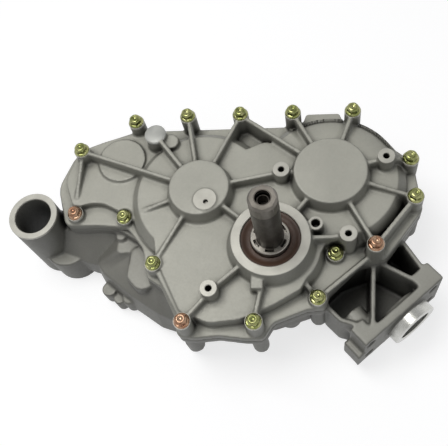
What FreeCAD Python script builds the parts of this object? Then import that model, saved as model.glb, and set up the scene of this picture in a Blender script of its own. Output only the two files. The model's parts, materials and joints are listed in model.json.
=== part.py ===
# Two-shaft reduction transmission for a small utility vehicle, lying on its back with the cover up.
# Millimetres. Z runs along the shafts, out of the cover. The origin is on the input shaft's axis,
# in the joint plane between the front cover and the rear case.

import FreeCAD, Part
import math
import os
import re

SIZES = {
    # Gear train
    "tooth_module": 2.5, "pinion_teeth": 27, "wheel_teeth": 52, "reverse_teeth": 56,
    "counter_angle": 142.02, "tooth_backlash": 0.2, "wheel_width": 18, "pinion_width": 20,
    "reverse_width": 16, "reverse_gear_base": 2, "wheel_base": -44, "tip_clearance": 1,
    # Front cover
    "flange_thickness": 10, "plate_top": 28, "low_plate_top": 20, "roof": 6, "shell_wall": 5,
    "dome_shoulder": 10, "dome_margin": 7, "dome_draft": 3, "cavity_bevel": 3,
    "ring_radius": 40.75, "ring_face": 47, "ring_foot": 46, "lug_step": 4,
    "disc_face": 44, "counter_disc_radius": 32.5, "output_disc_radius": 38.5, "disc_foot": 4,
    "rib_width": 4.6, "face_boss_radius": 9, "face_boss_face": 47, "face_boss_hole": 3.4,
    "middle_boss_depth": 18.5, "east_boss_depth": 17.5, "south_boss_depth": 16.5,
    "south_east_boss_depth": 14.5, "deep_boss_radius": 7.5,
    "deep_boss_hole": 4.6, "deep_boss_depth": 16, "blob_radius": 12, "blob_face": 42,
    "hump_radius": 9, "hump_top": 35, "half_moon_radius": 27, "half_moon_step": 3,
    "round_pad_radius": 12.5, "round_pad_face": 45.5, "round_pad_hole": 2.6,
    "round_pad_depth": 7, "rib_lump": 13, "rib_lump_top": 42,
    # Rear case
    "deck_thickness": 12, "case_floor": -56, "floor_thickness": 8,
    "rest_plane": -88, "foot_radius": 13, "foot_hole": 4.2, "foot_depth": 22,
    "bolt_boss_end": -56, "case_bearing_boss": 9, "low_cavity_depth": 40,
    "bulge_ridge": -34, "bulge_top": -12, "bulge_bottom": -74, "shelf_top": -10,
    "neck_top": -13, "neck_shoulder": -42, "neck_bottom": -76, "lobe_radius": 28,
    "lobe_top": -40, "drain_radius": 7, "filler_radius": 9, "breather_radius": 5,
    "rail_boss_bottom": -80, "rail_floor": 3, "lug_depth": 30, "fitting_depth": 14,
    # Mounting tube
    "tube_x": -270.6, "tube_y": 41.1, "tube_radius": 28, "tube_bore": 21, "tube_mouth": 18,
    # Mounting bracket with the pilot ring
    "bracket_angle": 42, "bracket_face": 135, "bracket_plate": 10, "bracket_top": -5,
    "bracket_bottom": -70, "bracket_web": 5, "bracket_floor": 6, "bracket_low": 22,
    "bracket_high": 88, "pad_low_length": 17, "pad_high_length": 26, "pad_depth": 23,
    "pad_foot": 8, "pad_foot_top": -38, "pad_hole": 5.5, "pad_hole_inset": 14,
    "pad_boss_radius": 14, "pad_boss_length": 37, "pad_boss_along": 20,
    "pilot_along": 65, "pilot_height": -38, "pilot_radius": 27, "pilot_bore": 19,
    "pilot_reach": 13, "pilot_back": 4, "pilot_bore_back": 20, "pad_boss_drop": 3,
    "web_inset": 8, "bracket_lap": 4,
    # Cover bolts
    "bolt_radius": 4, "bolt_hole": 4.4, "bolt_tip": -14, "bolt_head_flats": 12,
    "bolt_head_height": 6.6, "bolt_flange_radius": 8.4, "bolt_flange": 1.6, "bolt_boss_radius": 9,
    "seat_high": 37, "seat_east": 32, "seat_middle": 30, "seat_low": 18,
    "bolt_head_room": 14, "dowel_radius": 4, "dowel_reach": 8, "thread_spare": 2,
    "plug_collar": 3.5, "plug_collar_height": 2, "plug_head_height": 7, "breather_shank": 12,
    "breather_nipple": 3.5, "breather_nipple_length": 8, "breather_bore": 1.5,
    "filler_flats": 17, "filler_shank": 10, "drain_flats": 14, "drain_shank": 5,
    # Bearings: bore radius, outer radius and width
    "light_bore": 12.5, "light_outer": 26, "light_width": 15,
    "heavy_bore": 15, "heavy_outer": 31, "heavy_width": 16,
    "bearing_ring": 4.2, "bearing_inset": 0.5, "bearing_gap": 0.3, "front_pocket": 22,
    # Oil seals and running fits
    "input_seal_width": 8, "seal_lip": 20, "output_seal_radius": 26, "output_seal_width": 8,
    "output_seal_shoulder": 4, "seal_gap": 0.1, "running_gap": 0.05, "side_gap": 0.3,
    "end_gap": 0.5, "dog_clearance": 0.4,
    # Input shaft
    "input_radius": 14, "input_tip": 140, "input_chamfer": 3, "input_collar": 19,
    "input_thread": 5.1, "input_thread_depth": 32, "tip_bore": 7.3, "tip_bore_depth": 6,
    "sleeve_top": 51, "sleeve_slots": 6, "sleeve_slot_reach": 17.5, "sleeve_slot_width": 8,
    "sleeve_slot_depth": 8, "sleeve_slot_turn": 30,
    # Countershaft and output shaft
    "counter_shaft": 16, "counter_key": 5, "output_shaft": 17, "bush_wall": 2.5, "hub_radius": 21,
    "hub_splines": 8, "hub_spline_depth": 2, "hub_key": 6, "output_end": -86, "output_socket": 9,
    "output_socket_depth": 26,
    # Dog clutch and shift
    "dog_height": 6, "dog_gap": 1, "dog_inner": 25, "dog_outer": 31, "dog_count": 4,
    "dog_angle": 28, "dog_slot_angle": 40, "sleeve_radius": 38.5, "groove_radius": 34,
    "groove_width": 5, "fork_thickness": 4.6, "fork_gap": 0.25, "fork_band": 9, "fork_lap": 4,
    "fork_hub_below": 8, "fork_hub_above": 3, "ear_width": 8, "ear_height": 16,
    "rail_x": -10, "rail_y": 126,
    "rail_radius": 6, "rail_top": 14, "fork_hub": 9.5, "finger_reach": 18, "finger_ball": 4,
    "shift_shaft": 6, "shift_height": -36, "shift_inner": 130, "shift_boss_start": 140,
    "shift_boss_end": 164, "shift_shaft_spare": 6, "lever_gap": 5,
    "lever_thickness": 5, "lever_length": 42, "lever_eye": 3.1, "shift_seal_radius": 10,
    "shift_seal_width": 5, "detent_ball": 3, "detent_height": -64, "detent_notch": 0.8,
    "detent_notch_width": 2.4, "detent_reach": 24, "detent_wall": 4, "detent_gap": 0.3,
    "detent_shank": 5,
    "finger_plane": 137, "lever_width": 11,
}

# Cover bolts, clockwise from the west corner: x, y and the seat's height in the sheet
COVER_BOLTS = [
    (-216.4, 112.9, "seat_high"), (-156.5, 147.9, "seat_high"), (-97.2, 153.5, "seat_high"),
    (-37.4, 153.5, "seat_high"), (21.0, 153.5, "seat_high"), (86.2, 153.5, "seat_high"),
    (144.9, 95.3, "seat_east"), (147.3, 51.2, "seat_east"), (105.0, -3.3, "seat_high"),
    (65.1, -6.0, "seat_low"), (46.7, -53.4, "seat_low"), (-15.5, -84.2, "seat_high"),
    (-87.0, -84.3, "seat_high"), (-123.6, -20.7, "seat_middle"), (-164.1, 38.1, "seat_low"),
    (-221.2, 43.2, "seat_low"),
]
# Machined bosses on the cover's face: x, y, and by the depth of each one's threaded hole
MIDDLE_BOSS = (9.7, 78.0)
EAST_BOSS = (118.7, 91.0)
SOUTH_BOSS = (-60.5, -53.5)
SOUTH_EAST_BOSS = (77.9, 4.2)
FACE_BOSSES = {
    "middle_boss_depth": MIDDLE_BOSS, "east_boss_depth": EAST_BOSS,
    "south_boss_depth": SOUTH_BOSS, "south_east_boss_depth": SOUTH_EAST_BOSS,
}
# Single forms on the cover: x, y
DEEP_BOSS = (45.4, 16.6)
BLOB_BOSS = (-131.8, 128.6)
HUMP = (-115.0, 123.0)
HALF_MOON = (-172.8, 107.2)
ROUND_PAD = (-70.2, 45.3)
ROUND_PAD_HOLE = (-69.0, 42.3)
RIB_LUMP = (-13.0, -46.0)
EDGE_RIB_END = (-221.0, 60.0)
FIN_END = (-143.8, 39.8)
DOWELS = [(-190.0, 137.0), (26.0, -52.0)]
REAR_FEET = [(-120.0, 112.0), (112.0, 128.0), (14.0, -44.0), (-118.0, -2.0)]
# Cast lumps low on the case: x, y, radius, bottom and top
CASE_LUMPS = [
    (-196, -20, 9, -80, -56), (-184, -30, 7, -84, -60), (-170, -32, 8, -80, -52),
    (-92, -80, 9, -76, -50), (-174, 27, 6, -24, -8),
]
NECK_LOBE = (-249.0, 31.0)
# Screwed fittings: x and z on the north wall, x and y under the case
FILLER = (-67.0, -38.0)
BREATHER = (-136.0, -34.0)
DRAIN = (-30.0, -38.0)
NORTH_WALL = 146.0

# Outlines: x, y and corner radius
FLANGE_OUTLINE = [
    (-234, 32, 10), (-249, 80, 30), (-234, 120, 22), (-204, 138, 30), (-164, 152, 10),
    (90, 152, 20), (150, 104, 14), (157, 46, 10), (116, -10, 10), (90, -14, 6),
    (58, -46, 8), (55, -62, 6), (36, -64, 8), (2, -78, 12), (-8, -95, 8), (-26, -95, 8),
    (-54, -92, 30), (-78, -95, 8), (-97, -93, 8), (-100, -74, 8), (-118, -40, 10),
    (-134, -30, 6), (-142, 4, 20),
    (-162, 29, 10), (-196, 32, 40),
]
PAD_OUTLINE = [(26, 140, 2), (35, 167, 3), (72, 167, 3), (82, 140, 2)]
PLATE_OUTLINE = [
    (-128, 20, 8), (-122, -14, 8), (-92, -72, 12), (-62, -84, 20), (-30, -80, 20),
    (4, -64, 12), (30, -48, 8), (60, 10, 8), (40, 60, 8), (0, 128, 20), (-40, 110, 20),
]
LOW_PLATE_OUTLINE = [
    (-224, 50, 8), (-238, 84, 24), (-226, 122, 14), (-196, 134, 20), (-150, 148, 8),
    (-110, 140, 8), (-130, 20, 8), (-166, 42, 8), (-194, 57, 34),
]
LOW_CAVITY_OUTLINE = [
    (-214, 62, 8), (-228, 88, 20), (-216, 112, 8), (-186, 124, 10), (-166, 130, 8),
    (-162, 70, 8), (-176, 54, 8), (-196, 56, 8),
]
SHIFT_CAVITY_OUTLINE = [(-62, 90, 4), (-50, 143, 8), (16, 143, 8), (30, 90, 4)]
CASE_WALL_OUTLINE = [
    (-224, 40, 10), (-240, 80, 30), (-226, 116, 22), (-160, 146, 10), (88, 146, 20),
    (144, 100, 14), (151, 46, 10), (112, -4, 10), (72, -20, 10), (40, -52, 12), (0, -66, 12),
    (-60, -72, 20), (-98, -58, 16), (-128, -20, 12), (-150, 16, 12), (-180, 34, 20),
]
BULGE_TOP_OUTLINE = [
    (-178, 6, 6), (-158, 9, 6), (-146, -8, 6), (-130, -34, 6), (-98, -62, 6), (-60, -66, 6),
    (-60, 40, 6), (-150, 66, 6), (-176, 40, 6),
]
BULGE_RIDGE_OUTLINE = [
    (-206, 3, 6), (-198, -9, 8), (-168, -32, 6), (-130, -56, 6), (-98, -70, 6), (-60, -68, 6),
    (-60, 40, 6), (-150, 66, 6), (-200, 40, 6),
]
BULGE_LOW_OUTLINE = [
    (-214, 4, 6), (-204, -11, 8), (-172, -36, 6), (-132, -62, 6), (-98, -72, 6), (-60, -70, 6),
    (-60, 40, 6), (-150, 66, 6), (-208, 40, 6),
]
SHELF_OUTLINE = [(-150, 20, 8), (-161, 8, 8), (-164, -22, 10), (-147, -40, 14), (-128, -30, 8)]
NECK_TOP_OUTLINE = [(-262, 62, 8), (-250, 38, 8), (-206, 33, 14), (-160, 30, 8), (-160, 64, 8)]
NECK_LOW_OUTLINE = [(-268, 68, 8), (-262, 22, 8), (-218, 6, 14), (-160, -4, 8), (-160, 64, 8)]
# Walls of the mounting bracket, from the case outwards
BRACKET_WEST_WALL = [(50, -38), (56, -56), (70, -70), (79, -72.5)]
BRACKET_EAST_WALL = [(122, 24), (137, 14), (152, -10)]
BRACKET_CORNER = (105, -4)

doc = FreeCAD.newDocument("Transmission")
sheet = doc.addObject("Spreadsheet::Sheet", "Sizes")
for row, (alias, value) in enumerate(SIZES.items(), start=1):
    sheet.set(f"A{row}", alias)
    sheet.set(f"B{row}", str(value))
    sheet.setAlias(f"B{row}", alias)
doc.recompute()

UP = FreeCAD.Vector(0, 0, 1)
SUBPARTS = {}


def size(alias):
    """The sheet's value of one driving dimension."""
    return float(sheet.get(alias))


def formula(text):
    """An expression in which each alias is read from the sheet."""
    def qualify(match):
        word = match.group(0)
        return "Sizes." + word if word in SIZES else word
    return re.sub(r"[a-z][a-z_]*", qualify, text)


def bind(thing, **formulas):
    for prop, text in formulas.items():
        if isinstance(text, str):
            thing.setExpression(prop, formula(text))
        else:
            setattr(thing, prop, text)
    return thing


def placed(thing, at, direction=UP):
    thing.Placement = FreeCAD.Placement(FreeCAD.Vector(*at), FreeCAD.Rotation(UP, direction))
    return thing


def cylinder(radius, height, at=(0, 0, 0), direction=UP):
    made = doc.addObject("Part::Cylinder", "Cylinder")
    return placed(bind(made, Radius=radius, Height=height), at, direction)


def cone(low_radius, high_radius, height, at=(0, 0, 0), direction=UP):
    made = doc.addObject("Part::Cone", "Cone")
    return placed(bind(made, Radius1=low_radius, Radius2=high_radius, Height=height), at, direction)


def box(length, width, height, at=(0, 0, 0), turn=0.0):
    """A box whose first corner is at the point, turned about Z by an angle in degrees."""
    made = bind(doc.addObject("Part::Box", "Box"), Length=length, Width=width, Height=height)
    made.Placement = FreeCAD.Placement(FreeCAD.Vector(*at), FreeCAD.Rotation(UP, turn))
    return made


def sphere(radius, at):
    return placed(bind(doc.addObject("Part::Sphere", "Sphere"), Radius=radius), at)


def fuse(*shapes):
    if len(shapes) == 1:
        return shapes[0]
    made = doc.addObject("Part::MultiFuse", "Fuse")
    made.Shapes = list(shapes)
    made.Refine = True
    return made


def cut(base, *tools):
    made = doc.addObject("Part::Cut", "Cut")
    made.Base = base
    made.Tool = fuse(*tools)
    made.Refine = True
    return made


def common(first, second):
    made = doc.addObject("Part::MultiCommon", "Common")
    made.Shapes = [first, second]
    return made


def ring(outer, inner, height, at=(0, 0, 0)):
    """A plain ring: an outer cylinder with a through bore."""
    return cut(cylinder(outer, height, at), cylinder(inner, height, at))


def group(*shapes):
    """Separate pieces of one kind, kept as separate solids of one sub-part."""
    made = doc.addObject("Part::Compound", "Group")
    made.Links = list(shapes)
    return made


def subpart(name, shape):
    shape.Label = name
    SUBPARTS[name] = shape
    return shape


def corner_arc(before, corner, after, radius):
    """The two tangent points and the middle point of a round corner."""
    back = (before - corner).normalize()
    ahead = (after - corner).normalize()
    half = math.acos(max(-1.0, min(1.0, back.dot(ahead)))) / 2
    reach = radius / math.tan(half)
    middle = (back + ahead).normalize()
    centre = corner + middle * (radius / math.sin(half))
    return corner + back * reach, centre - middle * radius, corner + ahead * reach


def outline_edges(corners, z=0.0):
    """Straight sides with a tangent arc at each corner, given as x, y and radius."""
    points = [FreeCAD.Vector(x, y, z) for x, y, _ in corners]
    count = len(points)
    arcs = [
        corner_arc(points[i - 1], points[i], points[(i + 1) % count], corners[i][2])
        for i in range(count)
    ]
    edges = []
    for i, (start, middle, end) in enumerate(arcs):
        edges.append(Part.Arc(start, middle, end))
        edges.append(Part.LineSegment(end, arcs[(i + 1) % count][0]))
    return edges


def prism(corners, height, z):
    """A body padded from an outline, upwards from a height."""
    body = doc.addObject("PartDesign::Body", "Body")
    sketch = body.newObject("Sketcher::SketchObject", "Outline")
    plane = next(f for f in body.Origin.OriginFeatures if f.Role == "XY_Plane")
    sketch.AttachmentSupport = [(plane, "")]
    sketch.MapMode = "FlatFace"
    sketch.addGeometry(outline_edges(corners), False)
    pad = body.newObject("PartDesign::Pad", "Pad")
    pad.Profile = sketch
    bind(pad, Length=height)
    return placed(body, (0, 0, z))


def loft(low_corners, low, high_corners, high):
    """A solid drawn between two outlines with as many corners."""
    sections = []
    for corners, z in ((low_corners, low), (high_corners, high)):
        section = doc.addObject("Sketcher::SketchObject", "Section")
        section.addGeometry(outline_edges(corners), False)
        sections.append(placed(section, (0, 0, z)))
    made = doc.addObject("Part::Loft", "Loft")
    made.Sections = sections
    made.Solid = True
    made.Ruled = True
    return made


# Shaft places

PINION_PITCH = size("tooth_module") * size("pinion_teeth") / 2
WHEEL_PITCH = size("tooth_module") * size("wheel_teeth") / 2
REVERSE_PITCH = size("tooth_module") * size("reverse_teeth") / 2
WHEEL_TIP = WHEEL_PITCH + size("tooth_module")
REVERSE_TIP = REVERSE_PITCH + size("tooth_module")
CENTRE_DISTANCE = PINION_PITCH + WHEEL_PITCH
SHAFT_SPREAD = 2 * math.degrees(math.asin(REVERSE_PITCH / CENTRE_DISTANCE))
OUTPUT_ANGLE = size("counter_angle") - SHAFT_SPREAD


def polar(distance, angle):
    return distance * math.cos(math.radians(angle)), distance * math.sin(math.radians(angle))


INPUT = (0.0, 0.0)
COUNTER = polar(CENTRE_DISTANCE, size("counter_angle"))
OUTPUT = polar(CENTRE_DISTANCE, OUTPUT_ANGLE)


def direction_angle(start, end):
    return math.degrees(math.atan2(end[1] - start[1], end[0] - start[0]))


# Gears

def involute_point(base, radius, side, turn):
    """A point of one flank: side is +1 or -1, turn is the flank's angle at the base circle."""
    roll = math.sqrt(max((radius / base) ** 2 - 1, 0.0))
    spread = roll - math.atan(roll)
    angle = turn - side * spread
    return FreeCAD.Vector(radius * math.cos(angle), radius * math.sin(angle), 0)


def gear_profile(teeth, phase):
    """Involute outline at a 20 degree pressure angle. One tooth is centred at the phase angle."""
    module = size("tooth_module")
    pitch = module * teeth / 2
    base = pitch * math.cos(math.radians(20))
    tip = pitch + module
    root = pitch - 1.25 * module
    pressure = math.tan(math.radians(20)) - math.radians(20)
    half = (math.pi / 2 - size("tooth_backlash") / module) / teeth + pressure
    start = max(root, base)
    radii = [start, (start + tip) / 2, tip]
    points = []
    for tooth in range(int(teeth)):
        centre = math.radians(phase) + 2 * math.pi * tooth / teeth
        rise = [involute_point(base, r, -1, centre - half) for r in radii]
        fall = [involute_point(base, r, 1, centre + half) for r in reversed(radii)]
        if start > root + 1e-6:
            rise.insert(0, FreeCAD.Vector(rise[0]).normalize() * root)
            fall.append(FreeCAD.Vector(fall[-1]).normalize() * root)
        points += rise + fall
    return Part.Face(Part.makePolygon(points + points[:1]))


def toothed_disc(teeth, width, at, phase):
    profile = doc.addObject("Part::Feature", "Profile")
    profile.Shape = gear_profile(teeth, phase)
    placed(profile, at)
    made = doc.addObject("Part::Extrusion", "Teeth")
    made.Base = profile
    made.DirMode = "Normal"
    made.Solid = True
    return bind(made, LengthFwd=width)


def wheel(teeth, width, bore, centre, base, phase):
    """A plain spur wheel with a through bore."""
    low = (*centre, base)
    return cut(toothed_disc(teeth, width, low, phase), cylinder(bore, width, low))


def meshing_phase(own_teeth, other_teeth, other_phase, line_angle):
    """The phase of a gear whose space faces the other gear's tooth along the line of centres."""
    offset = (line_angle - other_phase) * other_teeth / own_teeth
    return line_angle + 180 + offset + 180 / own_teeth


PINION_PHASE = size("counter_angle")
COUNTER_WHEEL_PHASE = meshing_phase(
    size("wheel_teeth"), size("pinion_teeth"), PINION_PHASE, size("counter_angle"))
FORWARD_PHASE = meshing_phase(
    size("wheel_teeth"), size("pinion_teeth"), PINION_PHASE, OUTPUT_ANGLE)
CROSS_ANGLE = direction_angle(COUNTER, OUTPUT)
REVERSE_DRIVE_PHASE = CROSS_ANGLE
REVERSE_PHASE = meshing_phase(
    size("reverse_teeth"), size("reverse_teeth"), REVERSE_DRIVE_PHASE, CROSS_ANGLE)


# Front cover

TOP = size("plate_top")
CASE_TOP = 0.0
DOME = REVERSE_TIP + size("dome_margin")
COVER_CAVITY = REVERSE_TIP + size("tip_clearance")
CASE_CAVITY = WHEEL_TIP + 2 * size("tip_clearance")
PINION_CAVITY = PINION_PITCH + size("tooth_module") + 2 * size("tip_clearance")
RIB_FOOT = size("flange_thickness") - 2
RAIL = (size("rail_x"), size("rail_y"))
SHIFT_X = size("rail_x") - size("finger_reach")


def rib(start, end, start_top, end_top, foot=RIB_FOOT, width="rib_width"):
    """An upright web between two plan points, with a top that may slope."""
    made = doc.addObject("Part::Wedge", "Rib")
    length = math.dist(start, end)
    half = f"{width} / 2"
    bind(made, Xmin=f"-{half}", Xmax=half, X2min=f"-{half}", X2max=half, Ymin=0.0, Ymax=length)
    bind(made, Zmin=0.0, Z2min=0.0, Zmax=start_top - foot, Z2max=end_top - foot)
    turn = FreeCAD.Rotation(UP, direction_angle(start, end) - 90)
    made.Placement = FreeCAD.Placement(FreeCAD.Vector(*start, foot), turn)
    return made


def dome(centre):
    """A drafted gear chamber with a sloped shoulder up to the cover's plate."""
    shoulder = TOP - size("dome_shoulder")
    draft = DOME + size("dome_draft")
    inner = DOME - size("dome_shoulder") + 1
    return [
        cone(draft, DOME, shoulder, (*centre, 0)),
        cone(DOME, inner, "dome_shoulder", (*centre, shoulder)),
    ]


def bolt_place(number):
    return COVER_BOLTS[number - 1][:2]


def bolt_seat(number):
    return size(COVER_BOLTS[number - 1][2])


def cover_ribs():
    """Radial ribs from the bearing discs and the seal ring to the bolts and the face bosses."""
    high = size("disc_face") - 3
    boss = size("face_boss_face") - 5
    ribs = [rib(COUNTER, bolt_place(n), high, bolt_seat(n) - 1) for n in (1, 3, 4, 14)]
    ribs += [rib(OUTPUT, bolt_place(n), high, bolt_seat(n) - 1) for n in (4, 5, 6, 8, 9)]
    ribs += [rib(INPUT, bolt_place(n), high, bolt_seat(n) - 1) for n in (11, 12)]
    ribs += [rib(COUNTER, place, high, boss) for place in (MIDDLE_BOSS, BLOB_BOSS)]
    ribs += [rib(OUTPUT, place, high, boss) for place in (MIDDLE_BOSS, EAST_BOSS)]
    ribs += [rib(INPUT, place, high, boss) for place in (SOUTH_BOSS, SOUTH_EAST_BOSS)]
    ribs += [rib(INPUT, place, high, high) for place in (COUNTER, OUTPUT)]
    ribs.append(rib(EAST_BOSS, bolt_place(7), boss, bolt_seat(7) - 1))
    ribs.append(rib(SOUTH_BOSS, bolt_place(13), boss - 3, bolt_seat(13) - 1))
    ribs.append(rib(COUNTER, FIN_END, high + 1, TOP))
    ribs.append(rib(bolt_place(1), EDGE_RIB_END, bolt_seat(1) - 2, size("low_plate_top") + 1))
    return ribs


def cover_rims():
    """Raised edges that join neighbouring bolt bosses along the flange."""
    rims = [((14, 13), TOP - 2), ((8, 9), TOP + 2), ((9, 11), 14)]
    return [
        rib(bolt_place(a), bolt_place(b), min(top, bolt_seat(a)), min(top, bolt_seat(b) - 1))
        for (a, b), top in rims
    ]


def boss(place, radius, face):
    """A round cast boss from the ribs' foot up to its face."""
    return cylinder(radius, f"{face} - {RIB_FOOT}", (*place, RIB_FOOT))


def cover_bosses():
    bosses = [cylinder("bolt_boss_radius", seat, (x, y, 0)) for x, y, seat in COVER_BOLTS]
    bosses += [boss(place, "face_boss_radius", "face_boss_face") for place in FACE_BOSSES.values()]
    bosses.append(boss(DEEP_BOSS, "deep_boss_radius", "face_boss_face - 2"))
    bosses.append(boss(BLOB_BOSS, "blob_radius", "blob_face"))
    bosses.append(boss(HUMP, "hump_radius", "hump_top"))
    bosses.append(boss(ROUND_PAD, "round_pad_radius", "round_pad_face"))
    side = size("rib_lump")
    corner = (RIB_LUMP[0] - side / 2, RIB_LUMP[1] - side / 2, RIB_FOOT)
    bosses.append(box("rib_lump", "rib_lump", f"rib_lump_top - {RIB_FOOT}", corner))
    return bosses


def cover_outside():
    discs = []
    for centre, radius in ((COUNTER, "counter_disc_radius"), (OUTPUT, "output_disc_radius")):
        foot = size(radius) + size("disc_foot")
        discs.append(cone(foot, radius, "disc_face - plate_top", (*centre, TOP)))
    return fuse(
        prism(FLANGE_OUTLINE, "flange_thickness", 0),
        prism(PAD_OUTLINE, "flange_thickness + lug_step", 0),
        prism(LOW_PLATE_OUTLINE, "low_plate_top", 0),
        prism(PLATE_OUTLINE, "plate_top", 0),
        *dome(COUNTER), *dome(OUTPUT),
        cone(size("ring_foot") + 12, size("ring_foot") + 5, "plate_top", (0, 0, 0)),
        cone("ring_foot", "ring_radius", "ring_face - plate_top", (0, 0, TOP)),
        cylinder("half_moon_radius", "low_plate_top + half_moon_step", (*HALF_MOON, 0)),
        *discs, *cover_bosses(), *cover_ribs(), *cover_rims(),
    )


def blind_hole(place, radius, face, depth):
    """A hole sunk from a face by a depth."""
    return cylinder(radius, depth, (*place, size(face) - size(depth)))


def cover_inside():
    """Gear chambers, bearing pockets, the seal's seat and every hole."""
    pocket, bevel = size("front_pocket"), size("cavity_bevel")
    tools = []
    for centre in (COUNTER, OUTPUT):
        tools.append(cylinder(COVER_CAVITY, pocket - bevel, (*centre, 0)))
        tools.append(cone(
            COVER_CAVITY, COVER_CAVITY - 2 * bevel, "cavity_bevel", (*centre, pocket - bevel)))
    tools.append(cylinder(PINION_CAVITY, pocket, (0, 0, 0)))
    tools.append(prism(LOW_CAVITY_OUTLINE, "low_plate_top - roof", 0))
    tools.append(cylinder("light_outer", "light_width", (*COUNTER, pocket)))
    tools.append(cylinder("heavy_outer", "heavy_width", (*OUTPUT, pocket)))
    tools.append(cylinder("heavy_outer", "heavy_width", (0, 0, pocket)))
    tools.append(cylinder("heavy_outer - 3", "ring_face", (0, 0, 0)))
    seal_seat = size("ring_face") - size("input_seal_width")
    tools.append(cylinder("heavy_outer", "input_seal_width", (0, 0, seal_seat)))
    for x, y, seat in COVER_BOLTS:
        tools.append(cylinder("bolt_hole", seat, (x, y, 0)))
        tools.append(cylinder("bolt_flange_radius + 1", "bolt_head_room", (x, y, size(seat))))
    for depth, place in FACE_BOSSES.items():
        tools.append(blind_hole(place, "face_boss_hole", "face_boss_face", depth))
    tools.append(blind_hole(DEEP_BOSS, "deep_boss_hole", "face_boss_face", "deep_boss_depth"))
    tools.append(
        blind_hole(ROUND_PAD_HOLE, "round_pad_hole", "round_pad_face", "round_pad_depth"))
    for x, y in DOWELS:
        tools.append(cylinder("dowel_radius", "dowel_reach", (x, y, 0)))
    tools.append(cylinder("rail_radius + running_gap", "rail_top + 1", (*RAIL, 0)))
    return tools


def front_cover():
    return cut(cover_outside(), *cover_inside())


# Rear case

CASE_FLOOR = size("case_floor")
CASE_UNDER = CASE_FLOOR - size("floor_thickness")
LIGHT_UNDER = CASE_FLOOR - size("light_width") - size("case_bearing_boss")
SEAL_SHOULDER = size("output_seal_shoulder")
HEAVY_UNDER = CASE_FLOOR - size("heavy_width") - SEAL_SHOULDER - size("output_seal_width")
RAIL_UNDER = size("rail_boss_bottom")
RAIL_BOTTOM = RAIL_UNDER + size("rail_floor")
DETENT_HEIGHT = size("detent_height")
NORTH = FreeCAD.Vector(0, 1, 0)
EAST = FreeCAD.Vector(1, 0, 0)
WALL_FITTINGS = [(FILLER, "filler_radius"), (BREATHER, "breather_radius")]


def bracket_point(along, out):
    """A plan point from its place along the bracket's plate and out from the shaft axis."""
    turn = math.radians(size("bracket_angle"))
    x = along * math.cos(turn) + out * math.sin(turn)
    y = along * math.sin(turn) - out * math.cos(turn)
    return x, y


def bracket_box(along, length, out, depth, low, high):
    """A block of the bracket whose outer face stands at the distance out."""
    return box(length, depth, high - low, (*bracket_point(along, out), low), size("bracket_angle"))


OUTWARD = FreeCAD.Vector(*bracket_point(0, 1), 0)


def chain(points, top, bottom):
    """Bracket webs that follow a line of plan points."""
    return [rib(a, b, top, top, bottom, "bracket_web") for a, b in zip(points, points[1:])]


def bracket():
    """Webs, a floor, a plate with the pilot ring and two pads beside the output chamber."""
    top, bottom = size("bracket_top"), size("bracket_bottom")
    face, plate, depth = size("bracket_face"), size("bracket_plate"), size("pad_depth")
    low, high = size("bracket_low"), size("bracket_high")
    low_pad, high_pad, foot = size("pad_low_length"), size("pad_high_length"), size("pad_foot")
    back, lap, inset = plate + size("pilot_back"), size("bracket_lap"), size("web_inset")
    pilot = (*bracket_point(size("pilot_along"), face - back), size("pilot_height"))
    boss_start = bracket_point(size("pad_boss_along"), face - size("pad_boss_length"))
    boss_height = top - size("pad_hole_inset") - size("pad_boss_drop")
    web_end = bracket_point(low, face - inset)
    pad_start = bracket_point(high + 2, face - depth + lap)
    floor = [
        (48, -36, 4), (56, -58, 4), (*bracket_point(low - 12, face - 30), 4),
        (*bracket_point(low, face - lap), 2),
        (*bracket_point(high, face - lap), 2), (150, -8, 4), (128, 18, 4),
    ]
    east_end = bracket_point(high + high_pad - inset, face - depth + lap)
    return [
        bracket_box(low - 1, high - low + 2, face, plate, bottom, top),
        bracket_box(low - low_pad, low_pad, face, depth, bottom, top),
        bracket_box(low - low_pad - foot, foot + 1, face, depth, bottom, size("pad_foot_top")),
        bracket_box(high, high_pad, face, depth, bottom, top),
        cylinder("pilot_radius", back + size("pilot_reach"), pilot, OUTWARD),
        cylinder("pad_boss_radius", size("pad_boss_length") - 2, (*boss_start, boss_height), OUTWARD),
        prism(floor, "bracket_floor", bottom),
        *chain([*BRACKET_WEST_WALL, web_end], top, bottom),
        *chain([*BRACKET_EAST_WALL, east_end], top, bottom),
        *chain([BRACKET_CORNER, web_end], top, bottom),
        *chain([BRACKET_CORNER, pad_start], top, bottom),
    ]


def bracket_holes():
    """The pilot's bore and two holes in each pad. The upper one of the low pad runs through a boss."""
    face = size("bracket_face")
    low_middle = size("bracket_low") - size("pad_low_length") / 2
    high_middle = size("bracket_high") + size("pad_high_length") / 2
    upper = size("bracket_top") - size("pad_hole_inset")
    lower = size("bracket_bottom") + size("pad_hole_inset")
    depth = size("pad_depth")
    boss = size("pad_boss_length")
    bore_back = size("pilot_bore_back")
    pilot = (*bracket_point(size("pilot_along"), face - bore_back), size("pilot_height"))
    places = [
        (low_middle, upper, boss), (low_middle, lower, depth),
        (high_middle, upper, depth), (high_middle, lower, depth),
    ]
    holes = [cylinder("pilot_bore", "pilot_bore_back + pilot_reach", pilot, OUTWARD)]
    for along, z, length in places:
        start = (*bracket_point(along, face - length), z)
        holes.append(cylinder("pad_hole", length + 1, start, OUTWARD))
    return holes


def bulge():
    """The cast swelling south-west of the gear chamber, with a raised tongue on it."""
    ridge, bottom, shelf = size("bulge_ridge"), size("bulge_bottom"), size("shelf_top")
    return [
        loft(BULGE_RIDGE_OUTLINE, ridge, BULGE_TOP_OUTLINE, size("bulge_top")),
        loft(BULGE_LOW_OUTLINE, bottom, BULGE_RIDGE_OUTLINE, ridge),
        prism(SHELF_OUTLINE, shelf - ridge, ridge),
    ]


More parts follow.
